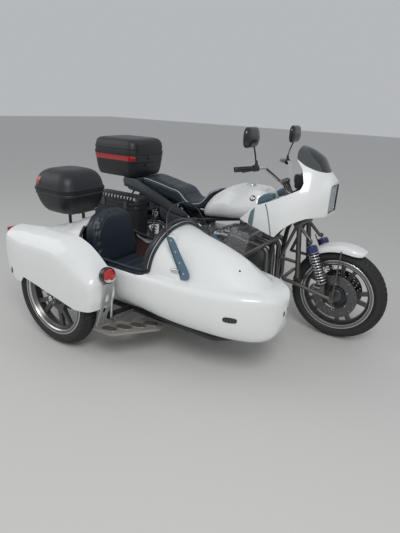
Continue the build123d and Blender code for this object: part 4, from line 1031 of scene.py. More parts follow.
def drum_piece(name, radius, low, high, centre, material, body, sides=24, edge=0.8):
    """Short turned boss across the vehicle with a small edge."""
    profile = [(0.3, low), (radius - edge, low), (radius, low + edge), (radius, high - edge),
               (radius - edge, high), (0.3, high)]
    return spun(name, profile, centre, material, body, sides, "Y")


def bolt_ring(name, count, ring_radius, head_radius, low, high, centre, material, body):
    """Bolt heads round an axle."""
    head = centred(drum_piece(name, head_radius, low, high, (0, 0, ring_radius), material, None, 6, 0.6))
    ring = turned_copies(head, count, material)
    ring.name = name
    creased(ring, 30)
    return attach(moved(ring, *centre), body)


# %% [markdown]
# A cast wheel: the rim is turned from half a profile and its mirror, with two bright machined lips.
# The web starts as a turned disc. Five wide fans and five narrow slots are cut right through it, and
# what is left between them are the five double spokes, just as the casting's core leaves them.

# %% Rims, webs and hubs
rim_grey = finish("rim_grey", (0.2, 0.195, 0.185), 0.34, metal=0.85, bump=0.2, grain=160, rough_spread=0.08)
disc_steel = finish("disc_steel", (0.15, 0.148, 0.146), 0.32, metal=1, bump=0.3, grain=150, rough_spread=0.08)
SPOKES, SPOKE_PHASE = 5, 2
DISC_Y, CARRIER_Y = 73, 58
# sides with a disc, the disc's radius, and the hub's ends
WHEEL_TABLE = {"front": ((-1, 1), 148, -62, 62), "rear": ((-1,), 132, -62, 62),
               "sidecar": ((1,), 120, -50, 62)}
RIM_HALF = [(242.6, 43), (244.4, 41.8), (244, 38.6), (232, 38), (228.5, 35), (226, 16), (219, 7), (218, 0)]
RIM_UNDER = [(206, 0), (206.5, 11), (209, 14), (214, 30), (219.5, 41), (221.5, 43)]


def window_outline(degrees, inner, outer, half_inner, half_outer, corner):
    """Rounded opening between spokes as X and Z about the axle."""
    angles = np.radians(np.linspace(degrees - half_outer, degrees + half_outer, 9))
    arc = [(outer * math.cos(a), outer * math.sin(a)) for a in angles]
    low = [math.radians(degrees - half_inner), math.radians(degrees + half_inner)]
    ends = [(inner * math.cos(a), inner * math.sin(a)) for a in low]
    return rounded([ends[0]] + arc + [ends[1]], corner, 4)


# %% Openings between the spokes
def spoke_windows():
    """All openings of one wheel as a single cutting tool at the origin."""
    tools = []
    pitch = 360 / SPOKES
    for index in range(SPOKES):
        spoke = SPOKE_PHASE + index * pitch
        shapes = ((spoke + pitch / 2, 90, 201, 18.5, 20.5, 16), (spoke, 112, 200, 3.4, 7.8, 5))
        for shape in shapes:
            tools.append(prism(window_outline(*shape), -60, 60))
    for tool in tools:
        tool["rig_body"] = "outfit"
    return centred(joined("window_tool", tools))


# %% Whole wheel
def wheel_casting(name):
    """Rim, web, hub, discs and bolts of one wheel."""
    sides, disc_radius, hub_low, hub_high = WHEEL_TABLE[name]
    centre, body = WHEELS[name], name + "_wheel_body"
    rim_profile = RIM_HALF + [(r, -y) for r, y in reversed(RIM_HALF[:-1])]
    rim_profile += [(r, -y) for r, y in reversed(RIM_UNDER)] + RIM_UNDER[1:]
    rim = creased(spun(name + "_rim", rim_profile, centre, rim_grey, body, 160), 32)
    pieces = [rim]
    for side in (-1, 1):
        for lip in ([(244.6, 43.2), (244.6, 42.2), (238, 42.4), (238, 43.6), (243.6, 44)],
                    [(223, 43), (221, 42.6), (216.5, 36), (215.6, 36.6), (220, 43.4), (223, 43.8)]):
            ring = spun(name + "_lip", [(r, side * y) for r, y in lip], centre, bright_alloy, body, 160)
            pieces.append(creased(ring, 32))
    web_profile = [(40, -21), (70, -17), (112, -13), (180, -11), (210, -12), (210, 12), (180, 11), (112, 13),
                   (70, 17), (40, 21)]
    web = centred(spun(name + "_web", web_profile, (0, 0, 0), dark_alloy, None, 120))
    cut(web, spoke_windows())
    edged(web, 2.8, 2, 50)
    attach(moved(creased(web, 42), *centre), body)
    pieces.append(web)
    hub = [(10.5, hub_low), (40, hub_low), (44, hub_low + 4), (46, -34), (54, -30), (56, -18), (56, 18),
           (54, 30), (46, 34), (44, hub_high - 4), (40, hub_high), (10.5, hub_high)]
    pieces.append(creased(spun(name + "_hub", hub, centre, dark_alloy, body, 72), 30))
    for side in sides:
        pieces += brake_disc(name, side, disc_radius, centre, body)
    if name == "sidecar":
        pieces.append(bolt_ring("sidecar_hub_bolts", 5, 30, 6, -54, -49, centre, bright_alloy, body))
        cap = drum_piece("sidecar_hub_cap", 17, -60, -50, centre, bright_alloy, body, 40, 3)
        pieces.append(creased(cap, 30))
    casting = joined(name + "_casting", pieces)
    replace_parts(casting, name + "_wheel")
    return casting


# %% Brake discs
def brake_disc(name, side, radius, centre, body):
    """Drilled disc on its carrier."""
    middle = side * DISC_Y
    ring_profile = [(radius - 62, middle - 2.5), (radius - 0.8, middle - 2.5), (radius, middle - 1.7),
                    (radius, middle + 1.7), (radius - 0.8, middle + 2.5), (radius - 62, middle + 2.5)]
    ring = centred(spun(name + "_disc", ring_profile, (0, 0, 0), disc_steel, None, 120))
    drills = []
    for reach_in, phase in ((14, 0), (29, 6), (44, 12)):
        where = (0, 0, radius - reach_in)
        drill = centred(drum_piece("drill", 3.6, middle - 9, middle + 9, where, bright_alloy, None, 10, 0.1))
        drill.data.transform(Matrix.Rotation(math.radians(phase), 4, "Y"))
        copies = turned_copies(drill, 20, bright_alloy)
        copies["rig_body"] = body
        drills.append(copies)
    cut(ring, joined("drills", drills))
    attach(moved(creased(ring, 30), *centre), body)
    low, high = sorted((side * CARRIER_Y, middle - side * 3))
    carrier_profile = [(38, low), (radius - 52, middle - side * 4), (radius - 50, middle + side * 3),
                       (44, high + 1)]
    carrier = centred(spun(name + "_carrier", carrier_profile, (0, 0, 0), dark_alloy, None, 80))
    holes = []
    for index in range(6):
        hole = prism(window_outline(30 + index * 60, 50, radius - 62, 17, 19, 7),
                     *sorted((side * 40, side * 90)))
        hole["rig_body"] = body
        holes.append(hole)
    cut(carrier, centred(joined("carrier_holes", holes)))
    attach(moved(creased(carrier, 30), *centre), body)
    out = sorted((middle + side * 2, middle + side * 7))
    bolts = bolt_ring(name + "_disc_bolts", 6, radius - 56, 5, out[0], out[1], centre, bright_alloy, body)
    return [ring, carrier, bolts]


# %% Make the three wheels
for wheel_name in WHEELS:
    made = wheel_casting(wheel_name)
    print(wheel_name, "wheel faces", len(made.data.polygons))


# %% [markdown]
# Tyres. The real casing is moulded with its tread. A displacement map would not show at the tyre's
# outline, so a smooth turned casing carries rows of real blocks: one pitch of them is modelled and
# then turned round the axle. Three low ribs run round each side wall.

# %% Tyres
# how far the casing lies below the blocks, and the tread's repeats
CROWN_DROP = 4.5
TREAD_PITCHES = 54
# across the tread from, to, and how far each edge is swept round, in degrees
BLOCKS = [(2.5, 17, 0.0, 0.9), (20, 34, 1.1, 2.4), (37, 47, 2.7, 3.7)]


def crown_radius(y):
    """Tyre's outside radius at a distance from its middle."""
    return 318 - 22 * (abs(y) / 45) ** 2.1


def tread_pitch(side):
    """One pitch of blocks on one side of the tyre."""
    points, faces = [], []
    span = 360 / TREAD_PITCHES
    for low, high, sweep_low, sweep_high in BLOCKS:
        columns, rows = 4, 3
        start = len(points)
        for depth in (0, 1):
            for column in range(columns + 1):
                share = column / columns
                y = low + (high - low) * share
                sweep = sweep_low + (sweep_high - sweep_low) * share
                for row in range(rows + 1):
                    angle = math.radians(sweep + span * 0.8 * row / rows)
                    radius = crown_radius(y) - (CROWN_DROP + 1.5) * (1 - depth)
                    points.append((radius * math.sin(angle), side * y, radius * math.cos(angle)))
        layer = (columns + 1) * (rows + 1)
        for depth in (0, 1):
            for column in range(columns):
                for row in range(rows):
                    a = start + depth * layer + column * (rows + 1) + row
                    faces.append((a, a + 1, a + rows + 2, a + rows + 1))
        edge = [column * (rows + 1) for column in range(columns + 1)]
        edge += [columns * (rows + 1) + row for row in range(1, rows + 1)]
        edge += [column * (rows + 1) + rows for column in range(columns - 1, -1, -1)]
        edge += list(range(rows - 1, 0, -1))
        for index, here in enumerate(edge):
            after = edge[(index + 1) % len(edge)]
            faces.append((start + here, start + after, start + layer + after, start + layer + here))
    return outward(new_piece("tread", np.asarray(points) / 1000, faces, None, rubber))


# %% Casing and whole tyre
def tyre(name):
    """Casing and tread of one tyre."""
    centre, body = WHEELS[name], name + "_wheel_body"
    crown = [(crown_radius(y) - CROWN_DROP, y) for y in np.linspace(-48, 48, 25)]
    wall = [(y, r) for y, r in arc_through((48, 294), (55.8, 268), (38.4, 245.4), 14)][1:]
    ribs = []
    for index, (y, r) in enumerate(wall):
        lift = 0.7 if index in (3, 6, 9) else 0
        ribs.append((r, min(y + lift, 55.9)))
    bead = [(243.8, 37.6), (229, 37.6), (229, 0)]
    half = ribs + bead
    profile = crown + half + [(r, -y) for r, y in reversed(half[:-1])]
    casing = creased(spun(name + "_casing", profile, centre, rubber, body, 180), 60)
    pieces = [casing]
    for side in (-1, 1):
        rows = turned_copies(tread_pitch(side), TREAD_PITCHES, rubber)
        rows.data.shade_flat()
        pieces.append(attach(moved(rows, *centre), body))
    whole = joined(name + "_tyre_skin", pieces)
    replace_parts(whole, name + "_tyre")
    return whole


for wheel_name in WHEELS:
    made = tyre(wheel_name)
    print(wheel_name, "tyre faces", len(made.data.polygons))


# %% [markdown]
# Shock absorbers: a steel spring round a damper, with a cap above and an eye at each end. The coil
# is a real helix from the spring tree, so it casts its own shadows; everything else is turned.

# %% Shock absorbers
def between(piece, start, stop):
    """Carry a piece made up the Z axis from the origin onto the line between two points."""
    start, stop = spot(*start), spot(*stop)
    turn = (stop - start).to_track_quat("Z", "Y").to_matrix().to_4x4()
    piece.data.transform(Matrix.Translation(start) @ turn)
    return piece


def shock_absorber(name, top, foot, y, coil_radius, wire, turns, cap_material, body):
    """Damper, coil spring, seats, cap and eyes."""
    start, stop = (foot[0], y, foot[1]), (top[0], y, top[1])
    length, seat_radius = math.dist(start, stop), coil_radius + 2
    parts_made = []
    tube_half, rod_half = length * 0.52, length * 0.5
    shapes = (("damper", [(0.3, 10), (11, 10), (11, tube_half), (0.3, tube_half)], dark_alloy),
              ("rod", [(0.3, rod_half), (5.5, rod_half), (5.5, length - 12), (0.3, length - 12)], chrome),
              ("low_seat", [(9, 26), (seat_radius - 1, 26), (seat_radius, 28), (seat_radius, 31), (9, 33)],
               bright_alloy),
              ("cap", [(0.3, length - 66), (seat_radius, length - 66), (seat_radius, length - 40),
                       (coil_radius - 2, length - 24), (8, length - 18), (0.3, length - 18)], cap_material))
    for label, profile, material in shapes:
        turned = centred(spun(name + label, profile, (0, 0, 0), material, None, 40, "Z"))
        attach(between(creased(turned, 35), start, stop), body)
        parts_made.append(turned)
    seed = new_piece("seed", [(0, 0, 0)], [], None)
    coil = grown(seed, COIL, Turns=turns, Height=(length - 98) / 1000, Radius=(coil_radius - wire) / 1000,
                 Wire=wire / 1000, Material=chrome if body == "steering" else dark_alloy)
    coil.data.transform(Matrix.Translation((0, 0, 0.032)))
    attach(between(coil, start, stop), body)
    parts_made.append(coil)
    eye = [(7.4, y - 9), (12, y - 9), (14, y - 7), (14, y + 7), (12, y + 9), (7.4, y + 9)]
    for label, (x, z) in (("top", top), ("foot", foot)):
        parts_made.append(creased(spun(name + label, eye, (x, 0, z), dark_alloy, body, 36), 30))
    return parts_made


# %% Make the four shock absorbers
cap_blue = finish("cap_blue", (0.016, 0.026, 0.11), 0.2, coat=0.3, grain=60, rough_spread=0.05)
SHOCKS = {"fork_shocks": ((1331, 664), (1458, 386), 118, 36, 4.2, 11, cap_blue, "steering"),
          "rear_shocks": ((100, 706), (34, 346), 166, 25, 3.6, 11, chrome, "outfit")}
for node, (top, foot, y, radius, wire, turns, cap, body) in SHOCKS.items():
    both = shock_absorber(node + "_right_", top, foot, -y, radius, wire, turns, cap, body)
    both += shock_absorber(node + "_left_", top, foot, y, radius, wire, turns, cap, body)
    whole = joined(node + "_pair", both)
    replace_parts(whole, node)
    print(node, "faces", len(whole.data.polygons))

# %% [markdown]
# Luggage. Every case is a stack of rounded rectangles from its floor or lid to the seam and back
# up the inside, so it stays a real hollow shell that opens at its hinge.

# %% Case helpers
def rounded_ring(x, y, z, inset, corner, steps=7):
    """Rounded rectangle at one height, drawn in by an inset."""
    (x0, x1), (y0, y1) = (x[0] + inset, x[1] - inset), (y[0] + inset, y[1] - inset)
    corner = max(min(corner - inset * 0.35, (x1 - x0) / 2 - 1, (y1 - y0) / 2 - 1), 3)
    ring = []
    for cx, cy, start in ((x1 - corner, y1 - corner, 0), (x0 + corner, y1 - corner, 90),
                          (x0 + corner, y0 + corner, 180), (x1 - corner, y0 + corner, 270)):
        for step in range(steps + 1):
            angle = math.radians(start + 90 * step / steps)
            ring.append((cx + corner * math.cos(angle), cy + corner * math.sin(angle), z))
    return ring


def stacked(name, rings, body, material):
    """Closed shell through a stack of rings, its first and last ring filled."""
    points = [point for ring in rings for point in ring]
    return outward(new_piece(name, place(points), closed_faces(len(rings), len(rings[0])), body, material))


def case_half(node, body, x, y, corner, table, wall, material):
    """Half of a case: its table runs from the closed end to the seam as height and inset."""
    outer = [rounded_ring(x, y, z, inset, corner) for z, inset in table]
    upwards = 1 if table[-1][0] > table[0][0] else -1
    inside = [(z, inset + wall) for z, inset in reversed(table)]
    closed = table[0][0] + upwards * wall
    inner = [rounded_ring(x, y, max(z, closed) if upwards > 0 else min(z, closed), inset, corner)
             for z, inset in inside]
    shell = stacked(node + "_skin", outer + inner, body, material)
    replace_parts(shell, node)
    return creased(shell, 32)


def case_band(name, x, y, corner, heights, insets, first, last, material, body, out=1.2):
    """Strip lying on a case between two ring positions, as a lens or a rib."""
    rings = [rounded_ring(x, y, z, inset - out, corner) for z, inset in zip(heights, insets)]
    count = len(rings[0])
    picked = [index % count for index in range(first, last + 1)]
    points = [ring[index] for ring in rings for index in picked]
    band = new_piece(name, place(points), grid_faces(len(rings), len(picked)), body, material)
    middle = ((x[0] + x[1]) / 2, (y[0] + y[1]) / 2, sum(heights) / len(heights))
    return creased(thickened(face_away(band, *middle), 1.6), 40)


def small_block(name, x, y, z, material, body, edge=2.0):
    """Small block with rounded edges."""
    points = [(a, b, c) for a in x for b in y for c in z]
    faces = [(0, 1, 3, 2), (4, 6, 7, 5), (0, 4, 5, 1), (2, 3, 7, 6), (0, 2, 6, 4), (1, 5, 7, 3)]
    block = outward(new_piece(name, place(points), faces, body, material))
    return creased(edged(block, edge), 40)


# %% [markdown]
# The top box and the sidecar's box: two tables of height and inset give each case its soft edges and
# rounded corners. Lenses and ribs are strips that reuse a few points of the same rings, pushed out
# by a millimetre, so they follow the corners.

# %% Cases
TOP_X, TOP_Y = (-550, -105), (-208, 208)
BOX_X, BOX_Y = (-375, -5), (-955, -565)
# height, inset
TOP_BASE = [(905, 52), (906, 40), (912, 30), (930, 22), (962, 15), (1000, 10), (1028, 8), (1034, 7),
            (1052, 4), (1072, 2), (1075, 3)]
TOP_LID = [(1200, 78), (1199.5, 62), (1196, 44), (1190, 30), (1180, 19), (1166, 12), (1140, 7), (1110, 5),
           (1098, 4), (1096, 0), (1079, 0), (1077, 2)]
SIDE_BASE = [(745, 86), (746, 72), (752, 60), (766, 46), (790, 32), (820, 20), (850, 12), (868, 8), (872, 4),
             (880, 4), (884, 6), (894, 5), (897, 0), (903, 0), (905, 2)]
SIDE_LID = [(1035, 128), (1034, 106), (1030, 84), (1022, 62), (1009, 44), (992, 30), (970, 19), (945, 12),
            (922, 8), (914, 6), (912, 0), (908, 0), (907, 2)]
case_half("top_box_base", "outfit", TOP_X, TOP_Y, 62, TOP_BASE, 4, case_plastic)
case_half("top_box_lid", "top_box_lid_body", TOP_X, TOP_Y, 62, TOP_LID, 4, case_plastic)
case_half("sidecar_box_base", "outfit", BOX_X, BOX_Y, 92, SIDE_BASE, 4, case_plastic)
case_half("sidecar_box_lid", "sidecar_box_lid_body", BOX_X, BOX_Y, 92, SIDE_LID, 4, case_plastic)

# the rings start at the front left corner and run by the rear left and rear right to the front right
case_band("top_reflector", TOP_X, TOP_Y, 62, (1034, 1038, 1052, 1068, 1072), (7, 6.2, 4, 2.4, 3), 10, 29,
          red_lens, "outfit", 1.8)
case_band("top_front_frame", TOP_X, TOP_Y, 62, (1018, 1022, 1036, 1040), (9, 6.4, 6, 7), 26, 34, case_plastic,
          "outfit")
case_band("top_lid_rib", TOP_X, TOP_Y, 62, (1120, 1124, 1134, 1138), (6, 4.4, 5, 7), 0, 32, case_plastic,
          "top_box_lid_body", 1.6)
for word, first, last in (("right", 18, 23), ("left", 8, 13)):
    case_band("box_reflector_" + word, BOX_X, BOX_Y, 92, (936, 942, 960, 976, 984), (11, 10, 15, 21, 26),
              first, last, red_lens, "sidecar_box_lid_body")
for name, x, y, z, body in (("top_panel", (-117, -103), (-150, 150), (1092, 1166), "top_box_lid_body"),
                            ("top_hinge_cover", (-112, -102), (-26, 26), (1040, 1070), "outfit"),
                            ("top_handle", (-118, -102), (-52, 52), (988, 1008), "outfit"),
                            ("box_bracket", (-300, -80), (-800, -640), (738, 746), "outfit")):
    small_block(name, x, y, z, steel_tube if name == "box_bracket" else case_plastic, body, 2.4)
print("cases", len(TOP_BASE) + len(TOP_LID), "and", len(SIDE_BASE) + len(SIDE_LID), "levels")

# %% [markdown]
# The panniers hang on both sides of the tail. They are made like the boxes. The lid's outer face
# carries a row of upright black ribs, every second one pale as a painted highlight, and two latches
# reach over the seam.

# %% Panniers
PANNIER_X, PANNIER_Y = (-400, 60), (204, 369)
PANNIER_BASE = [(430, 40), (431, 28), (437, 18), (450, 10), (476, 5), (520, 3), (620, 2), (690, 2), (700, 3),
                (703, 0), (727, 0), (730, 1.5)]
PANNIER_LID = [(800, 42), (799, 30), (796, 20), (789, 12), (778, 7), (764, 4), (750, 3), (747, 0), (735, 0),
               (732, 1.5)]
for side, word in SIDES:
    y = tuple(sorted((side * PANNIER_Y[0], side * PANNIER_Y[1])))
    outer_y = side * PANNIER_Y[1]
    lid_body = word + "_pannier_lid_body"
    case_half(word + "_pannier_base", "outfit", PANNIER_X, y, 38, PANNIER_BASE, 4, case_plastic)
    case_half(word + "_pannier_lid", lid_body, PANNIER_X, y, 38, PANNIER_LID, 4, case_plastic)
    ribs = []
    # every second rib is pale: a painted highlight on the black ribs
    for index in range(26):
        x = -370 + index * 16
        ribs.append(small_block("rib", (x, x + 7), tuple(sorted((outer_y - side * 16, outer_y - side * 4))),
                                (776, 796), inner_white_and_rib_highlight if index % 2 else case_plastic, lid_body, 1.5))
    joined(word + "_pannier_ribs", ribs)
    for x in (-290, -60):
        small_block(word + "_pannier_latch", (x, x + 34), tuple(sorted((outer_y - side, outer_y + side * 5))),
                    (704, 764), dark_alloy, "outfit", 2)
print("luggage done")

# %% [markdown]
# Stuffed pieces. Each cushion starts as a slightly small closed form, is remeshed evenly and blown
# up as cloth with its travel capped. Seams and channels are added on the result, and on the seat a
# pale tube along each upper edge paints the highlight there.

# %% Cushion helpers
def loft_rows(name, rows, body, material):
    """Closed form through rows of like point loops."""
    rows = np.asarray(rows, float)
    return outward(new_piece(name, place(rows.reshape(-1, 3)), closed_faces(*rows.shape[:2]), body, material))


def stuffed(piece, pressure, cap):
    """Even mesh, then cloth under pressure with no point moving further than the cap in metres."""
    even = piece.modifiers.new("even", "REMESH")
    even.mode = "VOXEL"
    even.voxel_size = 0.006
    settled(piece)
    mesh = piece.data
    count = len(mesh.vertices)
    before = np.empty(count * 3)
    mesh.vertices.foreach_get("co", before)
    cloth = piece.modifiers.new("stuffing", "CLOTH")
    cloth.settings.quality = 5
    cloth.settings.mass = 0.25
    cloth.settings.tension_stiffness = 12
    cloth.settings.compression_stiffness = 12
    cloth.settings.bending_stiffness = 1.2
    cloth.settings.use_pressure = True
    cloth.settings.uniform_pressure_force = pressure
    cloth.settings.effector_weights.gravity = 0
    cloth.point_cache.frame_start = 1
    cloth.point_cache.frame_end = 20
    for moment in range(1, 21):
        bpy.context.scene.frame_set(moment)
    settled(piece)
    bpy.context.scene.frame_set(1)
    after = np.empty(count * 3)
    piece.data.vertices.foreach_get("co", after)
    travel = (after - before).reshape(-1, 3)
    far = np.linalg.norm(travel, axis=1, keepdims=True)
    travel *= np.minimum(1, cap / np.maximum(far, 1e-9))
    piece.data.vertices.foreach_set("co", (before.reshape(-1, 3) + travel).ravel())
    fine = piece.modifiers.new("fine", "SUBSURF")
    fine.levels = 1
    fine.render_levels = 1
    settled(piece)
    piece.data.shade_smooth()
    return piece


# %% Seams, and helpers for tubes laid along a cushion
def pressed(piece, depth_of, facing=None):
    """Push the surface in along its normals by a depth in millimetres for each point."""
    mesh = piece.data
    count = len(mesh.vertices)
    at, normal = np.empty(count * 3), np.empty(count * 3)
    mesh.vertices.foreach_get("co", at)
    mesh.vertices.foreach_get("normal", normal)
    at, normal = at.reshape(-1, 3), normal.reshape(-1, 3)
    depth = depth_of((at - FOOT) * 1000) / 1000
    if facing is not None:
        depth = depth * np.clip((normal @ np.array(facing)) * 1.6, 0, 1)
    mesh.vertices.foreach_set("co", (at - normal * depth[:, None]).ravel())
    mesh.update()
    return piece


def groove(distance, width, depth):
    """Depth of a sewn channel at a distance from its line."""
    return depth * np.exp(-(distance / width) ** 2)


def on_surface(piece, points, lift):
    """Nearest places on a finished cushion, lifted off it a little, in millimetres."""
    made = []
    for point in place(points):
        near, normal = piece.closest_point_on_mesh(Vector(point))[1:3]
        made.append((np.array(near + normal * lift / 1000) - FOOT) * 1000)
    return made


# %% [markdown]
# The dual seat is a vinyl cover over foam. A sculpted solid would look hard, so a closed form is
# drawn a little too small between an upper and a lower side line, then inflated until the cover is
# taut. Sewn cross channels are pressed in afterwards, and a pale tube along each upper edge paints
# the highlight that the light makes there.

# %% Motorcycle seat
SEAT_TOP = [(592, 908), (566, 902), (542, 888), (516, 862), (492, 828), (466, 800), (440, 788), (390, 782),
            (352, 793), (326, 812), (300, 838), (268, 860), (236, 869), (205, 874), (140, 888), (60, 904),
            (0, 914), (-50, 920), (-84, 918), (-100, 900)]
SEAT_UNDER = [(574, 886), (560, 874), (544, 856), (524, 834), (504, 804), (486, 770), (462, 742),
              (420, 732), (376, 730), (330, 732), (300, 738), (265, 746), (236, 754), (200, 764),
              (140, 782), (80, 800), (20, 818), (-20, 830), (-64, 844), (-98, 856)]
# share of the length, half width
SEAT_HALF = [(0, 62), (0.05, 84), (0.16, 106), (0.3, 126), (0.42, 136), (0.95, 136), (1, 118)]


def seat_form():
    """Dual seat, narrow where it climbs the tank and stepped for the pillion."""
    rows, around = 76, 44
    top, under = along_path(SEAT_TOP, rows), along_path(SEAT_UNDER, rows)
    half = eased(SEAT_HALF, np.linspace(0, 1, rows))[:, 0]
    made = []
    for t, b, h in zip(top, under, half):
        middle, rise = (t + b) / 2, (t - b) / 2
        loop = []
        for angle in np.linspace(0, 2 * math.pi, around, endpoint=False):
            c, s = math.cos(angle), math.sin(angle)
            y = h * math.copysign(abs(c) ** 0.42, c)
            lift = math.copysign(abs(s) ** 0.5, s)
            loop.append((middle[0] + rise[0] * lift, y, middle[1] + rise[1] * lift))
        made.append(loop)
    return loft_rows("seat_cushion", made, "outfit", vinyl)


seat = stuffed(seat_form(), 4, 0.008)
SEAM_X = (322, 196, 120, 44)


def seat_channels(at):
    """Sewn cross channels on the saddle."""
    return sum(groove(at[:, 0] - x, 5, 4.5 if x == 322 else 2.6) for x in SEAM_X)


pressed(seat, seat_channels, (0, 0, 1))
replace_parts(seat, "seat")
# a pale tube along each upper edge of the seat paints the highlight there
for side, word in SIDES:
    path = [(x, side * 0.9 * w, z - 10) for (x, z), w in
            zip(along_path(SEAT_TOP, 40)[:-2], eased(SEAT_HALF, np.linspace(0, 1, 40))[:-2, 0])]
    tube("seat_highlight_tube_" + word, on_surface(seat, path, 0.6), 2.6, piping_and_seat_highlight, "outfit", sides=8)
print("seat faces", len(seat.data.polygons))

# %% [markdown]
# The passenger sits on a thick squab against a padded back with a plain middle and a pleated
# border. Both are levels of rounded rectangles, stuffed like the seat and then pressed along seams.

# %% Sidecar seat
# height, rear X, front X, half width
BACK = [(446, 150, 216, 150), (452, 140, 218, 190), (470, 134, 216, 204), (560, 110, 204, 207),
        (640, 98, 194, 206), (700, 94, 184, 195), (745, 94, 176, 170), (778, 98, 168, 136),
        (798, 106, 158, 94), (806, 116, 150, 50)]
SQUAB = [(322, 172, 520, 150), (326, 162, 532, 180), (344, 158, 536, 196), (420, 158, 536, 198),
         (446, 162, 532, 192), (454, 176, 520, 170)]


def block_cushion(name, table, count, power):
    """Cushion form from a table of levels with rounded plan."""
    levels = along_path(table, count)
    made = []
    for z, rear, front, half in levels:
        middle, deep = (rear + front) / 2, (front - rear) / 2
        loop = []
        for angle in np.linspace(0, 2 * math.pi, 64, endpoint=False):
            c, s = math.cos(angle), math.sin(angle)
            loop.append((middle + deep * math.copysign(abs(c) ** power, c),
                         BOAT_Y + half * math.copysign(abs(s) ** power, s), z))
        made.append(loop)
    return loft_rows(name, made, "outfit", vinyl)


back = stuffed(block_cushion("sidecar_back_cushion", BACK, 60, 0.34), 4, 0.009)
squab = stuffed(block_cushion("sidecar_squab", SQUAB, 30, 0.3), 4, 0.008)


def back_channels(at):
    """A seam round the plain middle of the back and short pleats on its border."""
    y, z = at[:, 1] - BOAT_Y, at[:, 2]
    edge = np.hypot(y / 196, np.maximum(z - 560, 0) / 236)
    seam = groove((edge - 0.94) * 196, 4, 3.2)
    turn = np.arctan2(np.maximum(z - 560, 0) / 236, y / 196) + z * 0.004
    pleats = np.clip((edge - 0.96) * 12, 0, 1) * (1 + np.cos(turn * 46)) * 1.3
    return seam + pleats


pressed(back, back_channels, (1, 0, 0.12))
pressed(squab, lambda at: sum(groove(at[:, 0] - x, 5, 3.4) for x in (240, 320, 400, 480)), (0, 0, 1))
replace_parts(back, "sidecar_seat")
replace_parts(squab, "sidecar_seat")
print("sidecar seat faces", len(back.data.polygons), len(squab.data.polygons))

# %% [markdown]
# The cockpit's edge carries a navy padded rim, and the arch under the screen two black rolls with
# a light piping between them, each following the boat's own surface.

# %% Cockpit rim and rolls
def rim_side(side):
    """Path of the padded rim along one side of the cockpit."""
    path = []
    for x, z in along_path([(62, 690), (78, 640), (108, 600), (160, 575), (240, 562), (330, 557), (480, 555),
                            (600, 554), (644, 558)], 34):
        half = min(boat_half(x, z), 298)
        path.append((x, BOAT_Y + side * (half - 5), z + 3))
    return path


def arch_path(lift, behind):
    """Path over the hood's slanting rear edge, lifted off the skin and set back from the edge."""
    (foot_x, foot_z), (top_x, top_z) = RIM[5:]
    path = []
    for degrees in np.linspace(29, 151, 61):
        x = foot_x + 12
        # the edge leans, so its place along the boat is found in a few rounds
        for _ in range(6):
            point = boat_point(x, degrees, lift)
            x = foot_x + (point[2] - foot_z) * (top_x - foot_x) / (top_z - foot_z)
        path.append((x - behind, point[1], point[2]))
    return path


roll_vinyl = finish("roll_vinyl", (0.016, 0.019, 0.024), 0.34, bump=0.3, grain=380, rough_spread=0.08)
for side, word in SIDES:
    tube("cockpit_rim_" + word, rim_side(side), 10, vinyl, "outfit", sides=16)
rear_roll = tube("arch_roll_rear", arch_path(12, 15), 19, roll_vinyl, "outfit", sides=24)
front_roll = tube("arch_roll_front", arch_path(5, -11), 9.5, roll_vinyl, "outfit", sides=18)
tube("arch_piping", arch_path(13, -3), 3.6, piping_and_seat_highlight, "outfit", sides=10)
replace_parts(rear_roll, "cockpit_trim")
for side, word in SIDES:
    x, y, z = arch_path(4, 2)[0 if side < 0 else -1]
    small_block("arch_foot_" + word, (x - 20, x + 16), (y - 12, y + 12), (z - 16, z + 8), rubber, "outfit", 3)
print("rolls", len(rear_roll.data.polygons), len(front_roll.data.polygons))

# %% [markdown]
# Small pieces: the passenger's clear screen with its screwed strips, lamps and markers, mirrors,
# headlight, footboard, engine covers and hoses. Plain CAD nodes that stay get rounded edges.

# %% Small-piece helpers
def turned_on(name, profile, centre, facing, material, body, stretch=(1, 1), steps=48, turn=0):
    """Turned boss, stretched to an oval if asked, standing on a surface and facing a direction."""
    boss = centred(spun(name, profile, (0, 0, 0), material, None, steps, "Z"))
    boss.data.transform(Matrix.Rotation(math.radians(turn), 4, "Z") @ Matrix.Diagonal((*stretch, 1, 1)))
    stop = np.add(centre, facing)
    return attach(between(creased(boss, 32), centre, tuple(stop)), body)


def plate(name, outline, low, high, axis, material, body, edge=1.0):
    """Flat plate with rounded edges."""
    made = prism(outline, low, high, axis)
    made.name = name
    made.data.name = name
    made.data.materials.append(material)
    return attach(creased(edged(made, edge, 3, 40), 40), body)


# %% [markdown]
# The passenger's screen is one clear sheet bent over the hood, open to the rear. Rays run from its
# slanting rear edge to the line where it meets the hood, each bowed outward a little, so the sheet
# closes with the bodywork at every angle. A dark edging follows the rear edge.

# %% Passenger's screen
# half width and height of the sheet's rear edge from low to crest
SHEET_EDGE = [(246, 540), (214, 770), (160, 908), (62, 952)]
SHEET_MIDDLE, SHEET_FRONT, SHEET_Y = 560, 884, BOAT_Y - 14
sheet_clear = finish("sheet_clear", (0.985, 0.995, 1.0), 0.01, clear=1.0, ior=1.12, grain=20,
                     rough_spread=0.005)


def sheet_rear(z):
    """Where the sheet's slanting rear edge stands at a height."""
    return float(np.interp(z, (550, 771, 945), (896, 783, 711)))


def strip_place(side, z, wide):
    """Where a strip lies across the boat at a height, clear of the hood below it."""
    near = [boat_half(sheet_rear(z) + wide * share, z + wide * share * 0.25) for share in (0, 0.5, 1)]
    return side * max(side * (BOAT_Y + side * (max(near) + 7)), side * (SHEET_Y + side * 205))


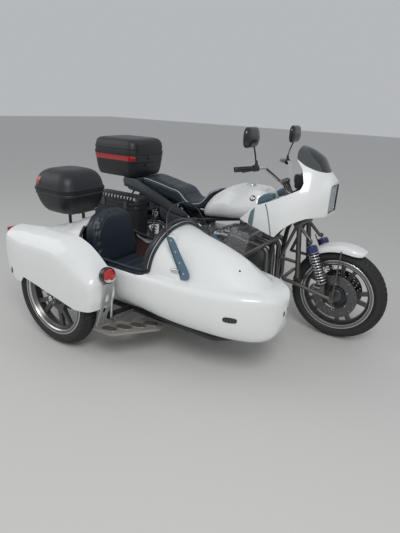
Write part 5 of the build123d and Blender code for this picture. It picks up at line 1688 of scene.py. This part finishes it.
def sheet_edge(angle, out=0):
    """Point on the rear edge at one angle above the right side; low down it joins the strips."""
    far = reach(SHEET_EDGE, SHEET_MIDDLE, np.array([angle]), 12)[0] + out
    z, across = SHEET_MIDDLE + far * math.sin(angle), SHEET_Y - far * math.cos(angle)
    side = 1 if math.cos(angle) < 0 else -1
    joining = float(np.interp(z, (740, 810), (1, 0)))
    if joining > 0:
        across += joining * (strip_place(side, z, 12) - side * 2 - across)
    return np.array((sheet_rear(z), across, z))


hood_line = np.array([boat_point(SHEET_FRONT, degrees, 1.5) for degrees in np.linspace(16, 164, 300)])
hood_turn = np.arctan2(hood_line[:, 2] - SHEET_MIDDLE, SHEET_Y - hood_line[:, 1])
sheet_angles = np.linspace(math.radians(4), math.radians(176), 90)
sheet_columns, sheet_belly = 20, 9
sheet_points = []
for angle in sheet_angles:
    rear_point = sheet_edge(angle)
    front_point = np.array([max(SHEET_FRONT, rear_point[0] + 6), np.interp(angle, hood_turn, hood_line[:, 1]),
                            np.interp(angle, hood_turn, hood_line[:, 2])])
    belly = np.array((0, -math.cos(angle), math.sin(angle))) * sheet_belly * math.sin(angle)
    line = front_point - rear_point
    for share in np.linspace(0, 1, sheet_columns):
        sheet_points.append(rear_point + line * share + belly * math.sin(math.pi * share))
sheet = new_piece("sidecar_screen_sheet", place(sheet_points), grid_faces(90, sheet_columns), "outfit",
                  sheet_clear)
face_away(sheet, 800, BOAT_Y, 600)
thickened(sheet, 2)
creased(sheet, 40)
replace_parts(sheet, "sidecar_screen")
tube("screen_edging", [sheet_edge(angle, -1) for angle in sheet_angles[::3]], 3.6, gloss_black, "outfit",
     sides=10)
print("screen sheet faces", len(sheet.data.polygons))

# %% [markdown]
# Blue-grey metal strips with four screws hold the sheet on each side, and a black stud closes it
# below. A strip's width comes from a table down the rear edge, and it stands clear of the hood.

# %% Screen strips
# height on the rear edge, how wide the strip is there
STRIP = [(784, 18), (780, 34), (768, 42), (690, 50), (620, 57), (582, 60), (566, 54), (558, 36)]
strip_metal = finish("strip_metal", (0.12, 0.2, 0.27), 0.36, metal=0.35, bump=0.2, grain=90,
                     rough_spread=0.08)
strips = []
for side, word in SIDES:
    points = []
    for z, wide in along_path(STRIP if side < 0 else [(z - 70, wide) for z, wide in STRIP], 30):
        for share in np.linspace(-0.1, 1, 6):
            points.append((sheet_rear(z) + wide * share, strip_place(side, z, wide), z + wide * share * 0.25))
    strip = new_piece("screen_strip_" + word, place(points), grid_faces(30, 6), "outfit", strip_metal)
    thickened(face_away(strip, 820, BOAT_Y, 600), 3)
    strips.append(creased(strip, 40))
    for z in (764, 704, 646, 588):
        screw = (sheet_rear(z) + 22, strip_place(side, z, 52), z + 5)
        turned_on("strip_screw_" + word, [(0.2, -2), (5, -2), (5, 0.6), (3.4, 2), (0.2, 2.2)], screw,
                  (0, side, 0), bright_alloy, "outfit", steps=20)
    stud = (826, BOAT_Y + side * (boat_half(826, 604) + 7), 604)
    turned_on("screen_stud_" + word, [(0.3, -46), (11, -46), (11, 0), (8, 5), (0.3, 6)], stud,
              (-1, side * 0.1, 0), bright_alloy, "outfit", steps=24)
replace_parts(joined("screen_strips", strips), "screen_brackets")
print("strips", len(strips))

# %% [markdown]
# Lamps are coloured plastic with a depth of their own. The round one on the pod is turned, red above
# and white below its middle. The tall and the wide red lamps are plates with rounded edges.

# %% Lamps
lamp_white = finish("lamp_white", (0.7, 0.66, 0.62), 0.15, coat=0.7, grain=40, rough_spread=0.03)
LAMP_SPOT, LAMP_FACING = (520, -1136, 548), (1, -0.1, 0.12)
pod_lamp = turned_on("pod_lamp", [(0.3, -4), (40, -4), (42, 4), (41, 14), (35, 24), (22, 30), (0.3, 32)],
                     LAMP_SPOT, LAMP_FACING, red_lens, "outfit")
pod_lamp.data.materials.append(lamp_white)
lamp_middle = spot(*LAMP_SPOT).z - 0.012
for face in pod_lamp.data.polygons:
    face.material_index = 1 if face.center.z < lamp_middle else 0
pod_lamp.data.update()
turned_on("pod_lamp_housing", [(34, -26), (46, -26), (49, 0), (47, 8), (43, 11), (41, 6)], LAMP_SPOT,
          LAMP_FACING, gloss_black, "outfit")
rear_strip = plate("pod_rear_lamp", [(-309, 560), (-300.4, 560), (-288.4, 690), (-297, 690)], -1196, -1126,
                   "Y", red_lens, "outfit", 2)
tail_lamp = plate("tail_lamp", [(-252.4, 880), (-241.4, 834), (-250, 830), (-261, 882)], -110, 110, "Y",
                  red_lens, "outfit", 2)
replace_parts(joined("lamps", [pod_lamp, rear_strip, tail_lamp]), "signal_lamps")
turned_on("pod_marker", [(0.3, -6), (15, -6), (15, 2), (11, 6), (0.3, 7)], (-226, -1240, 432),
          (-0.35, -1, 0.05), gloss_black, "outfit", (1, 1.8))


# %% [markdown]
# The boat's side carries an oval slotted marker that lies on its curve. A flat disc would stand off
# at its ends, so every point of the oval is set on the boat's own surface and then lifted.

# %% Markers
def vent(name, x, z, half_long, half_high, out, bars):
    """Oval slotted marker that lies on the boat's side."""
    rings, around = 5, 40
    points, faces = [(x, BOAT_Y - boat_half(x, z) - out - 1.5, z)], []
    for ring in range(1, rings + 1):
        share = ring / rings
        for step in range(around):
            angle = 2 * math.pi * step / around
            c, s = math.cos(angle), math.sin(angle)
            px = x + half_long * share * math.copysign(abs(c) ** 0.6, c)
            pz = z + half_high * share * math.copysign(abs(s) ** 0.6, s)
            lift = out * (1 - share ** 6) + 1.5 * (1 - share ** 2)
            points.append((px, BOAT_Y - boat_half(px, pz) - lift + 0.5, pz))
    faces += [(0, 1 + (i + 1) % around, 1 + i) for i in range(around)]
    for ring in range(rings - 1):
        low, high = 1 + ring * around, 1 + (ring + 1) * around
        faces += [(low + i, low + (i + 1) % around, high + (i + 1) % around, high + i) for i in range(around)]
    oval = new_piece(name, place(points), faces, "outfit", gloss_black)
    thickened(face_away(oval, x, BOAT_Y, z), 1.6)
    for bar in np.linspace(-0.62, 0.62, bars):
        size = half_high * 0.72 * math.sqrt(1 - bar * bar)
        run = [(x + half_long * bar, z + size * share) for share in (-1, 0, 1)]
        tube(name + "_bar", [(px, BOAT_Y - boat_half(px, pz) - out - 1.8, pz) for px, pz in run], 1.7,
             steel_tube, "outfit", sides=8)
    return oval


vent("side_marker", 1216, 416, 38, 17, 4, 4)
for degrees, z in ((208, 438), (158, 452)):
    aim = math.radians(degrees)
    # walk forward until the nose is as narrow as the lamp's place
    for step in range(200):
        x, y = 1330 + step * 0.5, BOAT_Y + math.sin(aim) * 62
        if boat_half(x, z) < abs(y - BOAT_Y):
            break
    turned_on("nose_lamp", [(0.3, -8), (10, -8), (11, 1), (9, 4), (0.3, 5)], (x, y, z),
              (1, math.sin(aim), 0.05), gloss_black, "outfit", (1.8, 1), turn=90)
    turned_on("nose_lamp_slot", [(0.3, 3), (4, 3), (4, 5.6), (0.3, 5.8)], (x, y, z), (1, math.sin(aim), 0.05),
              steel_tube, "outfit", (1.8, 1), turn=90)
turned_on("hood_stud", [(0.3, -2), (6, -2), (6, 1), (4, 2.6), (0.3, 3)], boat_point(1173, 69, 0),
          (0, -0.75, 0.65), gloss_black, "outfit", steps=24)
print("lamps and markers done")

# %% [markdown]
# Each mirror is a black housing of stacked rings that bulges forward, a bright glass set into its
# back, and a bent arm with a rubber boot on the handlebar's control.

# %% Mirrors
MIRROR_Y, MIRROR_Z = (-449, -268), (1244, 1364)
# X, inset
MIRROR_SHELL = [(953, 3), (952, 1), (954, 0), (962, 0.5), (970, 3), (977, 10), (982, 22), (984, 40)]


def mirror_rings(side, table):
    """Rounded rings across the vehicle at each place along X."""
    rings = []
    for x, inset in table:
        ring = rounded_ring(MIRROR_Y, MIRROR_Z, x, inset, 44, 9)
        rings.append([(c, a if side < 0 else -a, b) for a, b, c in ring])
    return rings


heads = []
for side, word in SIDES:
    head = creased(stacked("mirror_" + word, mirror_rings(side, MIRROR_SHELL), "steering", gloss_black), 30)
    glass = stacked("mirror_glass_" + word, mirror_rings(side, [(951.4, 8), (951, 7), (953.6, 7)]),
                    "steering", mirror_glass)
    path = [(963, side * 261, 1122), (960, side * 270, 1170), (966, side * 310, 1232),
            (972, side * 350, 1272)]
    arm = tube("mirror_arm_" + word, path, 5, gloss_black, "steering")
    boot = turned_on("mirror_boot_" + word, [(0.3, -10), (11, -10), (11, 6), (8, 22), (6, 34), (0.3, 34)],
                     (963, side * 261, 1128), (0, 0, 1), rubber, "steering", steps=28)
    heads += [head, creased(glass, 30), arm, boot]
mirrors = joined("mirror_pair", heads)
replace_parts(mirrors, "mirrors")
print("mirror faces", len(mirrors.data.polygons))

# %% [markdown]
# The headlight is a rectangular lamp: a bright bowl, a bulb, and a bowed glass with upright flutes.
# The flutes are real waves in the glass, since they bend the light in the way that the photo shows.

# %% Headlight
reflector = finish("reflector", (0.78, 0.79, 0.8), 0.12, metal=1, grain=40, rough_spread=0.03)
LAMP_Y, LAMP_Z = (-83, 83), (861, 1033)


def lamp_rings(table):
    """Rounded rings of the headlight at each place along X."""
    return [[(c, a, b) for a, b, c in rounded_ring(LAMP_Y, LAMP_Z, x, inset, 20, 6)] for x, inset in table]


bowl = stacked("headlight_bowl",
               lamp_rings([(1392, 0), (1396, 1), (1397, 5), (1388, 8), (1360, 22), (1336, 48)]), "outfit",
               reflector)
creased(bowl, 40)
rows, columns = 40, 72
lens_points = []
for z in np.linspace(LAMP_Z[0] + 5, LAMP_Z[1] - 5, rows):
    for y in np.linspace(LAMP_Y[0] + 5, LAMP_Y[1] - 5, columns):
        flute = 0.7 * math.cos(y * 0.55) * (1 if abs(y) < 66 else 0)
        lens_points.append((1397 + 4 * (1 - (y / 80) ** 2) + flute, y, z))
lens = new_piece("headlight_lens", place(lens_points), grid_faces(rows, columns), "outfit", lamp_glass)
thickened(face_away(lens, 1340, 0, 947), 1.4)
bulb = turned_on("headlight_bulb", [(0.3, 0), (20, 0), (20, 6), (9, 16), (8, 30), (0.3, 34)], (1340, 0, 947),
                 (1, 0, 0), chrome, "outfit", steps=32)
frame_line = [(1400, y, z) for y, z, x in rounded_ring(LAMP_Y, LAMP_Z, 0, 1, 22, 5)]
tube("headlight_rim", frame_line, 4, gloss_black, "outfit", closed=True, sides=10, smooth=False)
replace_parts(joined("headlight_unit", [bowl, lens, bulb]), "headlight")
print("headlight lens rows", rows, "columns", columns)

# %% [markdown]
# The passenger steps on a cast board beside the boat. Its plate is cut from the drawn outline, two
# beads run round it, and four grey rubber pads with a metal frame and three ribs stand on it.

# %% Footboard
board_plain = finish("board_plain", (0.3, 0.28, 0.26), 0.5, metal=0.35, bump=0.5, grain=160, rough_spread=0.1)
BOARD = [(418, -1191), (572, -1181), (756, -958), (736, -888), (576, -883), (542, -909), (556, -1008),
         (490, -1023), (456, -1094), (427, -1160)]
board_low, board_high = 192.5, 198.5
board_middle = np.mean(BOARD, axis=0)
board = plate("footboard_plate", rounded(BOARD, 16), board_low, board_high, "Z", board_plain, "outfit", 1.6)
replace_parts(board, "footboard")
for inset, radius in ((0.94, 3.2), (0.86, 1.8)):
    path = [board_middle + (np.array(corner) - board_middle) * inset for corner in BOARD]
    line = [(x, y, board_high + 0.6) for x, y in rounded([tuple(corner) for corner in path], 14)]
    tube("footboard_bead", line, radius, board_plain, "outfit", closed=True, sides=10, smooth=False)
pad_grey = finish("pad_grey", (0.07, 0.066, 0.064), 0.7, bump=0.5, grain=300, rough_spread=0.08)
pads, turn = [], math.radians(18)
for x, y in ((508, -1132), (562, -1066), (614, -997), (664, -935)):
    slot_line = []
    for end, start in ((1, -90), (-1, 90)):
        slot_line += [(end * 24 + 25 * math.cos(math.radians(start + 180 * step / 10)),
                       25 * math.sin(math.radians(start + 180 * step / 10))) for step in range(11)]
    slot_line = [(x + a * math.cos(turn) - b * math.sin(turn), y + a * math.sin(turn) + b * math.cos(turn))
                 for a, b in slot_line]
    pads.append(plate("pad", slot_line, board_high + 0.3, board_high + 4.4, "Z", pad_grey, "outfit", 1.2))
    ring = [(a, b, board_high + 2.4) for a, b in slot_line]
    tube("pad_frame", ring, 2.6, board_alloy, "outfit", closed=True, sides=8, smooth=False)
    for row in (-12, 0, 12):
        ends = [(x + a * math.cos(turn) - row * math.sin(turn), y + a * math.sin(turn) + row * math.cos(turn),
                 board_high + 4.8) for a in (-36, 0, 36)]
        pads.append(tube("pad_rib", ends, 2, pad_grey, "outfit", sides=8))
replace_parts(joined("pad_set", pads), "footboard_pads")
print("footboard pieces", len(pads))

# %% [markdown]
# Castings and panels that keep their CAD shape still need softened edges, because every real edge
# is a little round and catches the light. Each gets a copy with small bevels. The lamp bracket is a
# bent plate with three slots.

# %% Rounded copies of the plain nodes
bracket_grey = finish("bracket_grey", (0.46, 0.47, 0.47), 0.4, metal=0.4, bump=0.2, grain=90,
                      rough_spread=0.08)
fin_alloy = finish("fin_alloy", (0.52, 0.52, 0.52), 0.42, metal=0.9, bump=0.5, grain=200, rough_spread=0.1)
BRACKET = [(526, 508), (533, 508), (488, 333), (440, 198.8), (433, 198.8), (481, 335)]
bracket = plate("lamp_bracket", BRACKET, -1174, -1100, "Y", bracket_grey, "outfit", 1.2)
for z, tall in ((226, 46), (300, 50), (378, 56)):
    window = [(-1152, z), (-1122, z), (-1122, z + tall), (-1152, z + tall)]
    cut(bracket, prism(rounded(window, 9), 400, 560, axis="X"))
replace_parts(creased(bracket, 35), "footboard_bracket")
for node, width, material in (("tail_cowl", 7, grey_cowl),
                              ("side_panels", 5, grey_cowl), ("instrument_panel", 4, case_plastic),
                              ("handlebar_controls", 1.2, gloss_black), ("engine_block", 4, dark_alloy),
                              ("front_calipers", 2, bright_alloy), ("fork", 1.6, steel_tube),
                              ("swing_arm", 2, frame_paint), ("carburettors", 2, cast_alloy)):
    softened(node, width, material)
softened("engine_cylinders", 0.5, fin_alloy)
print("rounded copies done")

# %% [markdown]
# The round engine covers carry a cast ring, a raised boss and six bolts each, on both sides.

# %% Engine covers
for side, word in SIDES:
    for x, z, radius, depth in ((860, 370, 78, 24), (640, 350, 92, 30), (500, 390, 52, 16)):
        face_y = side * (188 + depth)
        low, high = sorted((face_y, face_y + side * 1.8))
        ring = [(radius - 16, low), (radius - 14, low), (radius - 14, high), (radius - 16, high)]
        creased(spun("cover_ring", ring, (x, 0, z), cast_alloy, "outfit", 60), 30)
        badge = [(0.3, low), (radius * 0.42, low), (radius * 0.4, high), (0.3, high)]
        creased(spun("cover_boss", badge, (x, 0, z), cast_alloy, "outfit", 48), 30)
        low, high = sorted((face_y, face_y + side * 1.9))
        bolt_ring("cover_bolts", 6, radius - 8, 4.4, low, high, (x, 0, z), bright_alloy, "outfit")
    print("engine covers,", word, "side done")

# %% [markdown]
# A rubber brake hose runs down each fork leg to its caliper. It is clipped at both ends and turns
# with the fork, so it is one short swept tube and not a hanging cord.

# %% Brake hoses
for side, word in SIDES:
    path = [(1296, side * 92, 668), (1322, side * 96, 610), (1368, side * 98, 560), (1398, side * 96, 500),
            (1400, side * 88, 430)]
    tube("brake_hose_" + word, path, 3.6, rubber, "steering", sides=10)
print("brake hoses done")

# %% [markdown]
# The view, floor and light. The camera repeats the photograph's: it stands about two metres ahead
# of the rear axle, well to the right, and looks down a little. The floor is plain and pale.

# %% Camera, floor and light
YAW, PITCH, ROLL, LENS = 0.556, 0.369, 0.048, 28.18
CAMERA_SPOT = (2104, -2709, 1470)
# name, where it hangs in metres, size, power
LAMPS = (("key", (2.6, -3.2, 4.6), 2.2, 125), ("fill", (-3.4, -2.2, 3.0), 3.0, 30))


def photo_camera():
    """Camera at the photograph's place and angle."""
    data = bpy.data.cameras.new("view")
    data.lens = LENS
    data.sensor_width = 36
    camera = linked("view", data)
    ahead = Vector((-math.sin(YAW) * math.cos(PITCH), math.cos(YAW) * math.cos(PITCH), -math.sin(PITCH)))
    right = Vector((math.cos(YAW), math.sin(YAW), 0))
    up = right.cross(ahead)
    tilted = right * math.cos(ROLL) + up * math.sin(ROLL)
    upright = up * math.cos(ROLL) - right * math.sin(ROLL)
    turn = Matrix((tilted, upright, -ahead)).transposed().to_4x4()
    camera.matrix_world = Matrix.Translation(spot(*CAMERA_SPOT)) @ turn
    bpy.context.scene.camera = camera


def stage():
    """Plain pale floor, an even sky and two large soft lamps."""
    side, low = 30, -0.001
    corners = [(-side, -side, low), (side, -side, low), (side, side, low), (-side, side, low)]
    paint = finish("floor_paint", (0.62, 0.61, 0.59), 0.8, bump=0.1, grain=3)
    floor = new_piece("floor", corners, [(0, 1, 2, 3)], None, paint)
    floor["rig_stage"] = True
    world = bpy.data.worlds.new("sky")
    world.use_nodes = True
    back = world.node_tree.nodes["Background"]
    back.inputs["Color"].default_value = (0.93, 0.96, 1, 1)
    back.inputs["Strength"].default_value = 0.5
    bpy.context.scene.world = world
    for name, where, size, power in LAMPS:
        lamp = bpy.data.lights.new(name, "AREA")
        lamp.size = size
        lamp.energy = power
        holder = linked(name, lamp)
        holder.location = where
        holder.rotation_euler = (Vector((0, 0, 0.5)) - Vector(where)).to_track_quat("-Z", "Y").to_euler()
        holder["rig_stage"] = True


photo_camera()
stage()
bpy.context.scene.view_settings.view_transform = "Standard"
print("camera at", CAMERA_SPOT, "with", len(LAMPS), "lamps")

# %% [markdown]
# Last, the overall box of what was made is measured.

# %% Finish
low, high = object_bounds()
print("visual box", [round(v, 3) for v in high - low])
